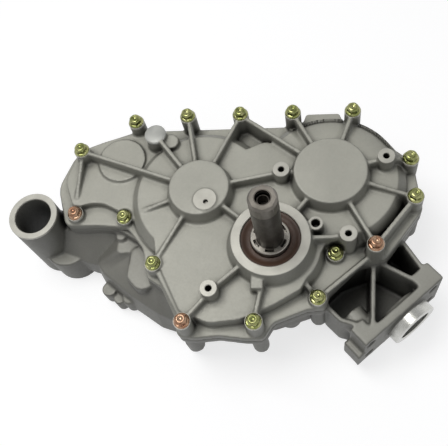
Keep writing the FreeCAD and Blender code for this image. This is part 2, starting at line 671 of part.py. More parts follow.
def tube_neck():
    """The mounting tube and the neck that carries it."""
    tube = (size("tube_x"), size("tube_y"))
    rest, shoulder, bottom = size("rest_plane"), size("neck_shoulder"), size("neck_bottom")
    return [
        cylinder("tube_radius", "tube_mouth - rest_plane", (*tube, rest)),
        loft(NECK_LOW_OUTLINE, shoulder, NECK_TOP_OUTLINE, size("neck_top")),
        prism(NECK_LOW_OUTLINE, shoulder - bottom, bottom),
        cylinder("lobe_radius", "lobe_top - rest_plane", (*NECK_LOBE, rest)),
    ]


def bearing_boss(centre, radius, under):
    return cylinder(f"{radius} + case_bearing_boss", CASE_FLOOR - under, (*centre, under))


def case_outside():
    rest = size("rest_plane")
    deck = CASE_TOP - size("deck_thickness")
    bolt_end = size("bolt_boss_end")
    shift_start = size("shift_boss_start")
    shift_boss = size("shift_boss_end") - shift_start
    shapes = [
        prism(FLANGE_OUTLINE, "deck_thickness", deck),
        prism(PAD_OUTLINE, "lug_depth", CASE_TOP - size("lug_depth")),
        prism(CASE_WALL_OUTLINE, CASE_TOP - CASE_UNDER, CASE_UNDER),
        bearing_boss(INPUT, "light_outer", LIGHT_UNDER),
        bearing_boss(COUNTER, "light_outer", LIGHT_UNDER),
        bearing_boss(OUTPUT, "heavy_outer", HEAVY_UNDER),
        cylinder("rail_radius + shell_wall", CASE_FLOOR - RAIL_UNDER, (*RAIL, RAIL_UNDER)),
        cylinder("detent_ball + detent_wall", "detent_reach", (*RAIL, DETENT_HEIGHT), NORTH),
        cylinder("shift_seal_radius + 3", shift_boss, (SHIFT_X, shift_start, size("shift_height")),
                 NORTH),
    ]
    shapes += [
        cylinder("bolt_boss_radius", CASE_TOP - bolt_end, (x, y, bolt_end))
        for x, y, _ in COVER_BOLTS
    ]
    shapes += [
        cone("foot_radius", "foot_radius + 3", CASE_FLOOR - rest, (x, y, rest))
        for x, y in REAR_FEET
    ]
    shapes += [cylinder(radius, top - low, (x, y, low)) for x, y, radius, low, top in CASE_LUMPS]
    return fuse(*shapes, *bulge(), *tube_neck(), *bracket())


def case_inside():
    """Gear chambers, bearing pockets and every hole."""
    height = CASE_TOP - CASE_FLOOR
    rest = size("rest_plane")
    shift_height = size("shift_height")
    light = CASE_FLOOR - size("light_width")
    heavy = CASE_FLOOR - size("heavy_width")
    cavity = size("low_cavity_depth")
    seal_bottom = (*OUTPUT, HEAVY_UNDER)
    tools = [cylinder(CASE_CAVITY, height, (*centre, CASE_FLOOR)) for centre in (COUNTER, OUTPUT)]
    tools += [
        cylinder(PINION_CAVITY, height, (0, 0, CASE_FLOOR)),
        prism(SHIFT_CAVITY_OUTLINE, height, CASE_FLOOR),
        prism(LOW_CAVITY_OUTLINE, cavity, CASE_TOP - cavity),
        cylinder("light_outer", "light_width", (*INPUT, light)),
        cylinder("light_outer", "light_width", (*COUNTER, light)),
        cylinder("heavy_outer", "heavy_width", (*OUTPUT, heavy)),
        cylinder(
            "output_seal_radius - output_seal_shoulder", CASE_FLOOR - HEAVY_UNDER, seal_bottom),
        cylinder("output_seal_radius", "output_seal_width", seal_bottom),
        cylinder("tube_bore", "tube_mouth - rest_plane", (size("tube_x"), size("tube_y"), rest)),
    ]
    thread_end = size("bolt_tip") - size("thread_spare")
    for x, y, _ in COVER_BOLTS:
        tools.append(cylinder("bolt_radius", CASE_TOP - thread_end, (x, y, thread_end)))
    reach = size("dowel_reach")
    for x, y in DOWELS:
        tools.append(cylinder("dowel_radius", reach + CASE_TOP, (x, y, -reach)))
    for x, y in REAR_FEET:
        tools.append(cylinder("foot_hole", "foot_depth", (x, y, rest)))
    rail_bore = "rail_radius + running_gap"
    tools.append(cylinder(rail_bore, CASE_FLOOR - RAIL_BOTTOM, (*RAIL, RAIL_BOTTOM)))
    tools.append(cylinder(
        "detent_ball + seal_gap", "detent_reach + 2", (*RAIL, DETENT_HEIGHT), NORTH))
    inner, outer = size("shift_inner"), size("shift_boss_end")
    seat = outer - size("shift_seal_width")
    tools.append(cylinder(
        "shift_shaft + running_gap", outer - inner, (SHIFT_X, inner, shift_height), NORTH))
    tools.append(cylinder(
        "shift_seal_radius", "shift_seal_width", (SHIFT_X, seat, shift_height), NORTH))
    fitting_start = NORTH_WALL - size("fitting_depth")
    for (x, z), radius in WALL_FITTINGS:
        tools.append(cylinder(radius, "fitting_depth", (x, fitting_start, z), NORTH))
    tools.append(cylinder("drain_radius", "floor_thickness - 2", (*DRAIN, CASE_UNDER)))
    return tools + bracket_holes()


def rear_case():
    return cut(case_outside(), *case_inside())


# Fasteners

def hexagon(flats, height, at, direction=UP):
    made = doc.addObject("Part::Prism", "Hexagon")
    made.Polygon = 6
    bind(made, Circumradius=f"{flats} / 2 / cos(30 * 1 deg)", Height=height)
    return placed(made, at, direction)


def cover_bolts():
    bolts = []
    for x, y, seat in COVER_BOLTS:
        under = size(seat)
        bolts.append(fuse(
            cylinder("bolt_radius", under - size("bolt_tip"), (x, y, size("bolt_tip"))),
            cylinder("bolt_flange_radius", "bolt_flange", (x, y, under)),
            hexagon("bolt_head_flats", "bolt_head_height", (x, y, under + size("bolt_flange"))),
        ))
    return group(*bolts)


def dowel_pins():
    low = size("end_gap") - size("dowel_reach")
    return group(*[cylinder("dowel_radius", -2 * low, (x, y, low)) for x, y in DOWELS])


def plug(flats, radius, length, at, direction):
    """A screwed plug with a collar and a hexagon head. The point is the face that it seats on."""
    start = FreeCAD.Vector(*at)
    shank = cylinder(radius, length, tuple(start - direction * length), direction)
    collar = cylinder(radius + size("plug_collar"), "plug_collar_height", at, direction)
    above = tuple(start + direction * size("plug_collar_height"))
    head = hexagon(flats, "plug_head_height", above, direction)
    return fuse(shank, collar, head)


def breather():
    """A small vent plug with a hose nipple and a bore right through."""
    x, z = BREATHER
    shank, nipple_length = size("breather_shank"), size("breather_nipple_length")
    head = size("plug_collar_height") + size("plug_head_height")
    body = plug("bolt_head_flats", size("breather_radius"), shank, (x, NORTH_WALL, z), NORTH)
    nipple = cylinder("breather_nipple", nipple_length, (x, NORTH_WALL + head, z), NORTH)
    length = shank + head + nipple_length
    bore = cylinder("breather_bore", length, (x, NORTH_WALL - shank, z), NORTH)
    return cut(fuse(body, nipple), bore)


# Bearings and seals

def bearing(name, centre, base, kind):
    """A sealed ball bearing as its outer ring, its inner ring and the seal that closes the gap."""
    bore, outer, width = f"{kind}_bore", f"{kind}_outer", f"{kind}_width"
    at = (*centre, base)
    subpart(f"{name}_outer_ring", ring(outer, f"{outer} - bearing_ring", width, at))
    subpart(f"{name}_inner_ring", ring(f"{bore} + bearing_ring", bore, width, at))
    seal = ring(f"{outer} - bearing_ring", f"{bore} + bearing_ring + bearing_gap",
                f"{width} - 2 * bearing_inset", (*centre, base + size("bearing_inset")))
    subpart(f"{name}_seal", seal)


# Shafts

def splined(outer, root, key, count, length, base, centre=INPUT, gap=0.0, turn=0.0):
    """A shaft length with straight keys: a core and crossed bars within the outer cylinder."""
    turn_step = 360 / count
    core = [cylinder(root + gap, length, (*centre, base))]
    for i in range(int(count) // 2):
        angle = turn + turn_step * i
        half = key / 2 + gap
        ahead = polar(-(outer + 1), angle)
        side = polar(-half, angle + 90)
        corner = (centre[0] + ahead[0] + side[0], centre[1] + ahead[1] + side[1], base)
        core.append(box(2 * (outer + 1), 2 * half, length, corner, angle))
    return common(cylinder(outer + gap, length, (*centre, base)), fuse(*core))


def input_shaft():
    """The driven shaft with its pinion. Its long plain end carries a pulley outside the cover."""
    pocket = size("front_pocket")
    seat_top = size("sleeve_top")
    tip, chamfer = size("input_tip"), size("input_chamfer")
    pinion_base = size("wheel_base") - (size("pinion_width") - size("wheel_width")) / 2
    pinion_top = pinion_base + size("pinion_width")
    end = CASE_FLOOR - size("light_width") + size("end_gap")
    shoulder = CASE_FLOOR + size("side_gap")
    shaft = fuse(
        cylinder("light_bore", shoulder - end, (0, 0, end)),
        cylinder("counter_shaft", pinion_base - shoulder, (0, 0, shoulder)),
        toothed_disc(size("pinion_teeth"), "pinion_width", (0, 0, pinion_base), PINION_PHASE),
        cylinder("input_collar", pocket - pinion_top, (0, 0, pinion_top)),
        cylinder("heavy_bore", seat_top - pocket, (0, 0, pocket)),
        cylinder("input_radius", tip - chamfer - seat_top, (0, 0, seat_top)),
        cone("input_radius", "input_radius - input_chamfer", "input_chamfer", (0, 0, tip - chamfer)),
    )
    thread_low = tip - size("input_thread_depth")
    thread = cylinder("input_thread", "input_thread_depth", (0, 0, thread_low))
    recess = cylinder("tip_bore", "tip_bore_depth", (0, 0, tip - size("tip_bore_depth")))
    return cut(shaft, thread, recess)


def input_sleeve():
    """The seal's running sleeve, with open slots around its upper end."""
    base = size("front_pocket") + size("heavy_width")
    depth = size("sleeve_slot_depth")
    slots = splined(
        size("sleeve_slot_reach"), size("heavy_bore"), size("sleeve_slot_width"),
        size("sleeve_slots"), depth, size("sleeve_top") - depth, turn=size("sleeve_slot_turn"))
    return cut(ring("seal_lip", "heavy_bore", size("sleeve_top") - base, (0, 0, base)), slots)


def input_seal():
    base = size("ring_face") - size("input_seal_width")
    return ring("heavy_outer", "seal_lip + seal_gap", "input_seal_width - 0.4", (0, 0, base))


WHEEL_BASE = size("wheel_base")
WHEEL_TOP = WHEEL_BASE + size("wheel_width")
REVERSE_BASE = size("reverse_gear_base")
REVERSE_TOP = REVERSE_BASE + size("reverse_width")
COUNTER_GEARS = [(WHEEL_BASE, "wheel_width"), (REVERSE_BASE, "reverse_width")]


def counter_shaft():
    low = CASE_FLOOR - size("light_width") + size("end_gap")
    high = size("front_pocket") + size("light_width") - size("end_gap")
    shoulder = CASE_FLOOR + size("side_gap")
    shaft = fuse(
        cylinder("light_bore", high - low, (*COUNTER, low)),
        cylinder("counter_shaft", REVERSE_TOP - shoulder, (*COUNTER, shoulder)),
        cylinder("counter_shaft + 4", WHEEL_BASE - shoulder, (*COUNTER, shoulder)),
    )
    return cut(shaft, *[counter_key(base, width) for base, width in COUNTER_GEARS])


def counter_key(base, width):
    """A square key half sunk into the shaft and half into its gear."""
    side = size("counter_key")
    corner = (COUNTER[0] + size("counter_shaft") - side / 2, COUNTER[1] - side / 2, base + 2)
    return box("counter_key", "counter_key", f"{width} - 4", corner)


def counter_keys():
    return group(*[counter_key(base, width) for base, width in COUNTER_GEARS])


def counter_wheel():
    made = wheel(size("wheel_teeth"), "wheel_width", "counter_shaft", COUNTER, WHEEL_BASE,
                 COUNTER_WHEEL_PHASE)
    return cut(made, counter_key(WHEEL_BASE, "wheel_width"))


def reverse_drive_gear():
    made = wheel(size("reverse_teeth"), "reverse_width", "counter_shaft", COUNTER, REVERSE_BASE,
                 REVERSE_DRIVE_PHASE)
    return cut(made, counter_key(REVERSE_BASE, "reverse_width"))


def counter_spacer():
    return ring("counter_shaft + 4", "counter_shaft", REVERSE_BASE - WHEEL_TOP, (*COUNTER, WHEEL_TOP))


def counter_washer():
    gap = size("front_pocket") - REVERSE_TOP
    return ring("counter_shaft + 1", "light_bore", gap, (*COUNTER, REVERSE_TOP))


HUB_LOW = WHEEL_TOP + size("side_gap")
HUB_HIGH = REVERSE_BASE - size("side_gap")
HUB_KEY = size("hub_key")
HUB_ROOT = size("hub_radius") - size("hub_spline_depth")


def output_shaft():
    low = size("output_end")
    high = size("front_pocket") + size("heavy_width") - size("end_gap")
    shoulder = CASE_FLOOR + size("side_gap")
    pieces = [
        cylinder("heavy_bore", high - low, (*OUTPUT, low)),
        cylinder("output_shaft", size("front_pocket") - shoulder, (*OUTPUT, shoulder)),
        splined(size("hub_radius"), HUB_ROOT, HUB_KEY, size("hub_splines"), HUB_HIGH - HUB_LOW,
                HUB_LOW, OUTPUT),
    ]
    socket = cylinder("output_socket", "output_socket_depth", (*OUTPUT, low))
    return cut(fuse(*pieces), socket)


def output_spacer():
    """The collar that holds the forward gear off the rear bearing."""
    base = CASE_FLOOR + size("side_gap")
    top = WHEEL_BASE - size("side_gap")
    return ring("output_shaft + bush_wall + 1", "output_shaft", top - base, (*OUTPUT, base))


def output_washer():
    base = REVERSE_TOP + size("side_gap")
    return ring("output_shaft + bush_wall + 1", "output_shaft", size("front_pocket") - base,
                (*OUTPUT, base))


def sector(outer, inner, height, angle, centre, base, middle):
    """A block of a ring that spans an angle about its middle direction."""
    made = doc.addObject("Part::Cylinder", "Sector")
    bind(made, Radius=outer, Height=height, Angle=angle)
    turn = FreeCAD.Rotation(UP, middle - size(angle) / 2)
    made.Placement = FreeCAD.Placement(FreeCAD.Vector(*centre, base), turn)
    return cut(made, cylinder(inner, height, (*centre, base)))


def dog_angles():
    return [360 / size("dog_count") * i for i in range(int(size("dog_count")))]


def dogs(base):
    return [
        sector("dog_outer", "dog_inner", "dog_height", "dog_angle", OUTPUT, base, angle)
        for angle in dog_angles()
    ]


BUSH_OUTER = "output_shaft + running_gap + bush_wall"


def forward_gear():
    made = wheel(size("wheel_teeth"), "wheel_width", BUSH_OUTER, OUTPUT, WHEEL_BASE, FORWARD_PHASE)
    return fuse(made, *dogs(WHEEL_TOP))


def reverse_gear():
    made = wheel(size("reverse_teeth"), "reverse_width", BUSH_OUTER, OUTPUT, REVERSE_BASE,
                 REVERSE_PHASE)
    return fuse(made, *dogs(REVERSE_BASE - size("dog_height")))


def bush(base, width):
    return ring(BUSH_OUTER, "output_shaft + running_gap", width, (*OUTPUT, base))


SLEEVE_LOW = WHEEL_TOP + size("dog_height") + size("dog_gap")
SLEEVE_HIGH = REVERSE_BASE - size("dog_height") - size("dog_gap")
FORK_PLANE = (SLEEVE_LOW + SLEEVE_HIGH) / 2
SHIFT_TRAVEL = size("dog_height") - size("dog_gap") / 2


def dog_sleeve():
    """The sliding sleeve: splined on the hub, grooved for the fork, with dog slots at each face."""
    height = SLEEVE_HIGH - SLEEVE_LOW
    groove_base = FORK_PLANE - size("groove_width") / 2
    tools = [
        splined(size("hub_radius"), HUB_ROOT, HUB_KEY, size("hub_splines"), height, SLEEVE_LOW,
                OUTPUT, size("seal_gap")),
        ring(size("sleeve_radius") + 1, "groove_radius", "groove_width", (*OUTPUT, groove_base)),
    ]
    outer, inner = "dog_outer + dog_clearance", "dog_inner - dog_clearance"
    for base in (SLEEVE_LOW, SLEEVE_HIGH - size("dog_height")):
        tools += [
            sector(outer, inner, "dog_height", "dog_slot_angle", OUTPUT, base, angle)
            for angle in dog_angles()
        ]
    return cut(cylinder("sleeve_radius", height, (*OUTPUT, SLEEVE_LOW)), *tools)


# Shift mechanism

FINGER_PLANE = size("finger_plane")
FORK_ANGLE = direction_angle(OUTPUT, RAIL)


def shift_fork():
    """A half ring in the sleeve's groove, an arm, a hub on the rail and a slotted ear."""
    thickness = "fork_thickness"
    base = FORK_PLANE - size("fork_thickness") / 2
    inner = "groove_radius + fork_gap"
    outer = size("sleeve_radius") + size("fork_band")
    half_turn = doc.addObject("Part::Cylinder", "Sector")
    bind(half_turn, Radius=outer, Height=thickness, Angle=180.0)
    half_turn.Placement = FreeCAD.Placement(
        FreeCAD.Vector(*OUTPUT, base), FreeCAD.Rotation(UP, FORK_ANGLE - 90))
    jaws = cut(half_turn, cylinder(inner, thickness, (*OUTPUT, base)))
    near = polar(outer - size("fork_lap"), FORK_ANGLE)
    arm_start = (OUTPUT[0] + near[0], OUTPUT[1] + near[1])
    arm = rib(arm_start, RAIL, base + size("fork_thickness"), base + size("fork_thickness"), base,
              "fork_hub * 1.6")
    hub_low = size("shift_height") - size("fork_hub_below")
    hub_high = base + size("fork_thickness") + size("fork_hub_above")
    hub = cylinder("fork_hub", hub_high - hub_low, (*RAIL, hub_low))
    ball = size("finger_ball")
    ear_width = size("ear_width")
    ear_end = FINGER_PLANE + ball + size("end_gap")
    ear = box("ear_width", ear_end - RAIL[1], "ear_height",
              (RAIL[0] - ear_width / 2, RAIL[1], hub_low))
    slot_height = 2 * (ball + size("seal_gap"))
    slot_start = RAIL[1] + size("rail_radius") + 1
    slot = box("2 * fork_hub", ear_end - slot_start + 1, slot_height,
               (RAIL[0] - size("fork_hub"), slot_start, size("shift_height") - slot_height / 2))
    bore = cylinder("rail_radius", hub_high - hub_low, (*RAIL, hub_low))
    return cut(fuse(jaws, arm, hub, ear), bore, slot)


def shift_rail():
    """The rail that carries the fork, with three detent notches."""
    low = RAIL_BOTTOM + SHIFT_TRAVEL + 1
    high = size("rail_top") - SHIFT_TRAVEL
    rail = cylinder("rail_radius", high - low, (*RAIL, low))
    notches = [
        ring(size("rail_radius") + 1, "rail_radius - detent_notch", "detent_notch_width",
             (*RAIL, DETENT_HEIGHT - size("detent_notch_width") / 2 + step))
        for step in (-SHIFT_TRAVEL, 0, SHIFT_TRAVEL)
    ]
    return cut(rail, *notches)


def shift_shaft():
    """The cross shaft with its finger. The ball end works in the fork's ear."""
    height = size("shift_height")
    start = FINGER_PLANE - size("shift_shaft_spare")
    end = size("shift_boss_end") + size("shift_shaft_spare") + size("lever_thickness")
    return fuse(
        cylinder("shift_shaft", end - start, (SHIFT_X, start, height), NORTH),
        cylinder("finger_ball / 2", "finger_reach", (SHIFT_X, FINGER_PLANE, height), EAST),
        sphere("finger_ball", (RAIL[0], FINGER_PLANE, height)),
    )


def shift_lever():
    """A flat lever that hangs from the cross shaft, with a clamped boss and an eye for the cable."""
    face = size("shift_boss_end") + size("lever_gap")
    height = size("shift_height")
    eye_height = height - size("lever_length")
    thickness = "lever_thickness"
    hub = (SHIFT_X, face, height)
    eye = (SHIFT_X, face, eye_height)
    corner = (SHIFT_X - size("lever_width") / 2, face, eye_height)
    blank = fuse(
        cylinder("shift_shaft + 4", thickness, hub, NORTH),
        cylinder("lever_eye + 4", thickness, eye, NORTH),
        box("lever_width", thickness, "lever_length", corner),
    )
    holes = [
        cylinder("shift_shaft", thickness, hub, NORTH),
        cylinder("lever_eye", thickness, eye, NORTH),
    ]
    return cut(blank, *holes)


def shift_seal():
    start = (SHIFT_X, size("shift_boss_end") - size("shift_seal_width"), size("shift_height"))
    outer = cylinder("shift_seal_radius", "shift_seal_width", start, NORTH)
    return cut(outer, cylinder("shift_shaft + seal_gap", "shift_seal_width", start, NORTH))


BALL_CENTRE = RAIL[1] + size("rail_radius") + size("detent_gap") + size("detent_ball")
DETENT_PLUG_FACE = RAIL[1] + size("detent_reach")


def detent_ball():
    return sphere("detent_ball", (RAIL[0], BALL_CENTRE, DETENT_HEIGHT))


def detent_spring():
    """The spring's outer shape as a thin tube between the ball and the plug."""
    start = BALL_CENTRE + size("detent_ball") + size("detent_gap")
    length = DETENT_PLUG_FACE - size("detent_shank") - start
    at = (RAIL[0], start, DETENT_HEIGHT)
    outer = cylinder("detent_ball - detent_gap", length, at, NORTH)
    return cut(outer, cylinder("detent_ball - 1", length, at, NORTH))


def detent_plug():
    at = (RAIL[0], DETENT_PLUG_FACE, DETENT_HEIGHT)
    return plug("bolt_head_flats", size("detent_ball"), size("detent_shank"), at, NORTH)


def filler_plug():
    at = (FILLER[0], NORTH_WALL, FILLER[1])
    return plug("filler_flats", size("filler_radius"), size("filler_shank"), at, NORTH)


def drain_plug():
    at = (*DRAIN, CASE_UNDER)
    return plug("drain_flats", size("drain_radius"), size("drain_shank"), at, -UP)


def assemble():
    subpart("rear_case", rear_case())
    subpart("front_cover", front_cover())
    subpart("cover_bolts", cover_bolts())
    subpart("dowel_pins", dowel_pins())
    pocket = size("front_pocket")
    light = CASE_FLOOR - size("light_width")
    heavy = CASE_FLOOR - size("heavy_width")
    bearing("input_front_bearing", INPUT, pocket, "heavy")
    bearing("input_rear_bearing", INPUT, light, "light")
    bearing("counter_front_bearing", COUNTER, pocket, "light")
    bearing("counter_rear_bearing", COUNTER, light, "light")
    bearing("output_front_bearing", OUTPUT, pocket, "heavy")
    bearing("output_rear_bearing", OUTPUT, heavy, "heavy")
    subpart("input_shaft", input_shaft())
    subpart("input_sleeve", input_sleeve())
    subpart("input_seal", input_seal())
    subpart("counter_shaft", counter_shaft())
    subpart("counter_keys", counter_keys())
    subpart("counter_wheel", counter_wheel())
    subpart("reverse_drive_gear", reverse_drive_gear())
    subpart("counter_spacer", counter_spacer())
    subpart("counter_washer", counter_washer())
    subpart("output_shaft", output_shaft())
    subpart("output_spacer", output_spacer())
    subpart("output_washer", output_washer())
    subpart("output_seal", ring("output_seal_radius", "heavy_bore + seal_gap", "output_seal_width",
                                (*OUTPUT, HEAVY_UNDER)))
    subpart("forward_gear", forward_gear())
    subpart("forward_bush", bush(WHEEL_BASE, "wheel_width"))
    subpart("reverse_gear", reverse_gear())
    subpart("reverse_bush", bush(REVERSE_BASE, "reverse_width"))
    subpart("dog_sleeve", dog_sleeve())
    subpart("shift_fork", shift_fork())
    subpart("shift_rail", shift_rail())
    subpart("shift_shaft", shift_shaft())
    subpart("shift_lever", shift_lever())
    subpart("shift_seal", shift_seal())
    subpart("detent_ball", detent_ball())
    subpart("detent_spring", detent_spring())
    subpart("detent_plug", detent_plug())
    subpart("filler_plug", filler_plug())
    subpart("drain_plug", drain_plug())
    subpart("breather", breather())


def check_and_write():
    doc.recompute()
    for thing in doc.Objects:
        if {"Invalid", "Error"} & set(thing.State):
            raise RuntimeError(f"{thing.Name} ({thing.Label}) failed: {thing.State}")
    os.makedirs("parts", exist_ok=True)
    for name, thing in SUBPARTS.items():
        shape = thing.Shape
        if shape.isNull() or not shape.isValid():
            raise RuntimeError(f"{name} has no valid shape")
        shape.exportStep(f"parts/{name}.step")


assemble()
check_and_write()
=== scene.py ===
# Looks of a small utility vehicle's transmission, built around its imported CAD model.
# The frame is the CAD's: Z runs along the shafts, out of the cover, and the origin is on the input
# shaft's axis in the joint plane. Shapes are given in millimetres, lamps and the camera in metres.

import json
import math

import bmesh
import bpy
import numpy as np
from mathutils import Matrix, Quaternion, Vector

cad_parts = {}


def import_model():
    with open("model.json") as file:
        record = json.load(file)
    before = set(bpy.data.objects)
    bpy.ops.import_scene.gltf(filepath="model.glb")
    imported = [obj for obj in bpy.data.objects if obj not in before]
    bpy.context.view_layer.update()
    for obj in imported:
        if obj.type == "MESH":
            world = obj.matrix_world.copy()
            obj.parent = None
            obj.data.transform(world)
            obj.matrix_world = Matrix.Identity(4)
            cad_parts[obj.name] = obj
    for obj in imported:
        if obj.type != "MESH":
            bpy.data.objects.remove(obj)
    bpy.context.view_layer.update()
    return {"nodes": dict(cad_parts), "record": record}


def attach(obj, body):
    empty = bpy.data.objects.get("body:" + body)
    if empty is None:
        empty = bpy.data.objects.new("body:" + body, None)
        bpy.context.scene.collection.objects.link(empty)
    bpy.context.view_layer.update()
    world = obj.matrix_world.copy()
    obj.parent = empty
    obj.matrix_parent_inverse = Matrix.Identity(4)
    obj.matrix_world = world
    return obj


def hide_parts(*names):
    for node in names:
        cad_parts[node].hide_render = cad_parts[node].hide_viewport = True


MM = 0.001

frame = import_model()
nodes = frame["nodes"]

# Places, in millimetres, as in the CAD
INPUT = (0.0, 0.0)
COUNTER = (-77.837, 60.769)
OUTPUT = (61.155, 77.534)
TUBE = (-270.6, 41.1)
REST_PLANE = -88.0
RING_FACE = 47.0
DEEP_BOSS_FACE = 45.0
TUBE_MOUTH = 18.0
BOLTS = [
    (-216.4, 112.9, 37), (-156.5, 147.9, 37), (-97.2, 153.5, 37), (-37.4, 153.5, 37),
    (21.0, 153.5, 37), (86.2, 153.5, 37), (144.9, 95.3, 32), (147.3, 51.2, 32),
    (105.0, -3.3, 37), (65.1, -6.0, 18), (46.7, -53.4, 18), (-15.5, -84.2, 37),
    (-87.0, -84.3, 37), (-123.6, -20.7, 30), (-164.1, 38.1, 18), (-221.2, 43.2, 18),
]
COPPER_BOLTS = {9, 13, 16}
BOSSES = [(9.7, 78.0), (118.7, 91.0), (-60.5, -53.5), (77.9, 4.2)]
DEEP_BOSS = (45.4, 16.6)
BLOB_BOSS = (-131.8, 128.6)
ROUND_PAD = (-70.2, 45.3)
ROUND_PAD_HOLE = (-69.0, 42.3)
BRACKET_ANGLE = 42.0
PILOT_ALONG = 65.0
PILOT_HEIGHT = -38.0
RAIL = (-10.0, 126.0)


# Node materials

def new_material(name):
    """An empty node material, its tree and its principled shader."""
    mat = bpy.data.materials.new(name)
    mat.use_nodes = True
    tree = mat.node_tree
    shader = tree.nodes["Principled BSDF"]
    return mat, tree, shader


def add(tree, kind, **settings):
    """A new node whose settings are its sockets' values or its own properties."""
    node = tree.nodes.new(kind)
    for key, value in settings.items():
        if key in node.inputs:
            node.inputs[key].default_value = value
        else:
            setattr(node, key, value)
    return node


def wire(tree, source, output, target, socket):
    tree.links.new(source.outputs[output], target.inputs[socket])


def place(tree):
    """The surface point in metres and its normal, in the frame's own axes."""
    return add(tree, "ShaderNodeTexCoord")


def noise(tree, coords, scale, detail=3.0, rough=0.55):
    made = add(tree, "ShaderNodeTexNoise", Scale=scale, Detail=detail, Roughness=rough)
    wire(tree, coords, "Object", made, "Vector")
    return made


def ramp(tree, source, output, stops):
    """A colour ramp through stops of a position and a colour."""
    made = add(tree, "ShaderNodeValToRGB")
    elements = made.color_ramp.elements
    while len(elements) < len(stops):
        elements.new(0.5)
    for element, (position, colour) in zip(elements, stops):
        element.position = position
        element.color = (*colour, 1.0)
    wire(tree, source, output, made, "Fac")
    return made


def shade(colour, factor):
    return tuple(min(1.0, c * factor) for c in colour)


def grey(value):
    return (value, value, value)


def bump(tree, shader, heights):
    """Bumps stacked in series, each from a noise, its strength and its height in metres."""
    last = None
    for source, strength, distance in heights:
        made = add(tree, "ShaderNodeBump", Strength=strength, Distance=distance)
        wire(tree, source, "Fac", made, "Height")
        if last:
            wire(tree, last, "Normal", made, "Normal")
        last = made
    wire(tree, last, "Normal", shader, "Normal")


# A Mix node's colour sockets: its result, and its two colours
MIXED = 2
MIX_FIRST = 6
MIX_SECOND = 7


def mixed(tree, factor, output, first, second, blend="MIX"):
    """A colour mix of two sources, each a node's Color or a plain colour."""
    made = add(tree, "ShaderNodeMix", data_type="RGBA", blend_type=blend)
    if isinstance(factor, float):
        made.inputs[0].default_value = factor
    else:
        wire(tree, factor, output, made, 0)
    for socket, source in ((MIX_FIRST, first), (MIX_SECOND, second)):
        if isinstance(source, tuple):
            made.inputs[socket].default_value = (*source, 1.0)
        else:
            out = MIXED if source.bl_idname == "ShaderNodeMix" else "Color"
            tree.links.new(source.outputs[out], made.inputs[socket])
    return made


# Painted shade in cast skins: how far a corner and a deep pocket reach, in metres, and the rays that
# look for them
CORNER_REACH = 0.012
POCKET_REACH = 0.06
HOLLOW_RAYS = 8


def cast_metal(name, colour, metallic, roughness, hollow_shade, wall_shade):
    """Die-cast aluminium: a fine skin and broad stains, with painted shade in creases, corners and
    deep pockets and on walls and slopes.
    """
    mat, tree, shader = new_material(name)
    coords = place(tree)
    broad = noise(tree, coords, 22.0, 4.0)
    fine = noise(tree, coords, 420.0, 4.0, 0.65)
    skin = noise(tree, coords, 1400.0, 2.0)
    tint = ramp(tree, broad, "Fac", [(0.32, shade(colour, 0.86)), (0.68, shade(colour, 1.06))])
    speck = ramp(tree, fine, "Fac", [(0.30, shade(colour, 0.90)), (0.62, shade(colour, 1.04))])
    base = mixed(tree, 0.35, None, tint, speck)
    # Painted shade: concave creases, where smoothing lifted the skin, are darkened to a share of the
    # colour
    hollow = add(tree, "ShaderNodeAttribute", attribute_name="hollow")
    crease_shade_mask = ramp(tree, hollow, "Fac", [(0.05, grey(0.0)), (0.75, grey(1.0))])
    base = mixed(tree, crease_shade_mask, "Color", base, shade(colour, hollow_shade))
    # Painted shade: corners and creases within a short reach are darkened by ambient occlusion
    corner = add(tree, "ShaderNodeAmbientOcclusion", Distance=CORNER_REACH, samples=HOLLOW_RAYS)
    corner_shade = ramp(tree, corner, "AO", [(0.25, shade(colour, hollow_shade * 0.5)), (0.85, grey(1.0))])
    # Painted shade: deep pockets are darkened by ambient occlusion over a longer reach, down to
    # about an eighth of the colour
    deep = add(tree, "ShaderNodeAmbientOcclusion", Distance=POCKET_REACH, samples=HOLLOW_RAYS)
    depth = ramp(tree, deep, "AO", [(0.04, grey(0.12)), (0.42, grey(1.0))])
    base = mixed(tree, 1.0, None, base, corner_shade, "MULTIPLY")
    base = mixed(tree, 1.0, None, base, depth, "MULTIPLY")
    # Painted shade: walls and slopes are darker than level tops, by how far the surface leans
    split = add(tree, "ShaderNodeSeparateXYZ")
    wire(tree, coords, "Normal", split, "Vector")
    lean = ramp(tree, split, "Z", [
        (0.0, grey(wall_shade)), (0.80, grey(wall_shade)), (0.93, grey(0.5 + wall_shade / 2)), (0.99, grey(1.0))])
    base = mixed(tree, 1.0, None, base, lean, "MULTIPLY")
    wire(tree, base, MIXED, shader, "Base Color")
    gloss = ramp(tree, fine, "Fac", [(0.3, grey(roughness + 0.08)), (0.7, grey(roughness - 0.06))])
    wire(tree, gloss, "Color", shader, "Roughness")
    shader.inputs["Metallic"].default_value = metallic
    bump(tree, shader, [(fine, 0.12, 0.0004), (skin, 0.10, 0.0002)])
    return mat


CUTTER_LINES = 900.0


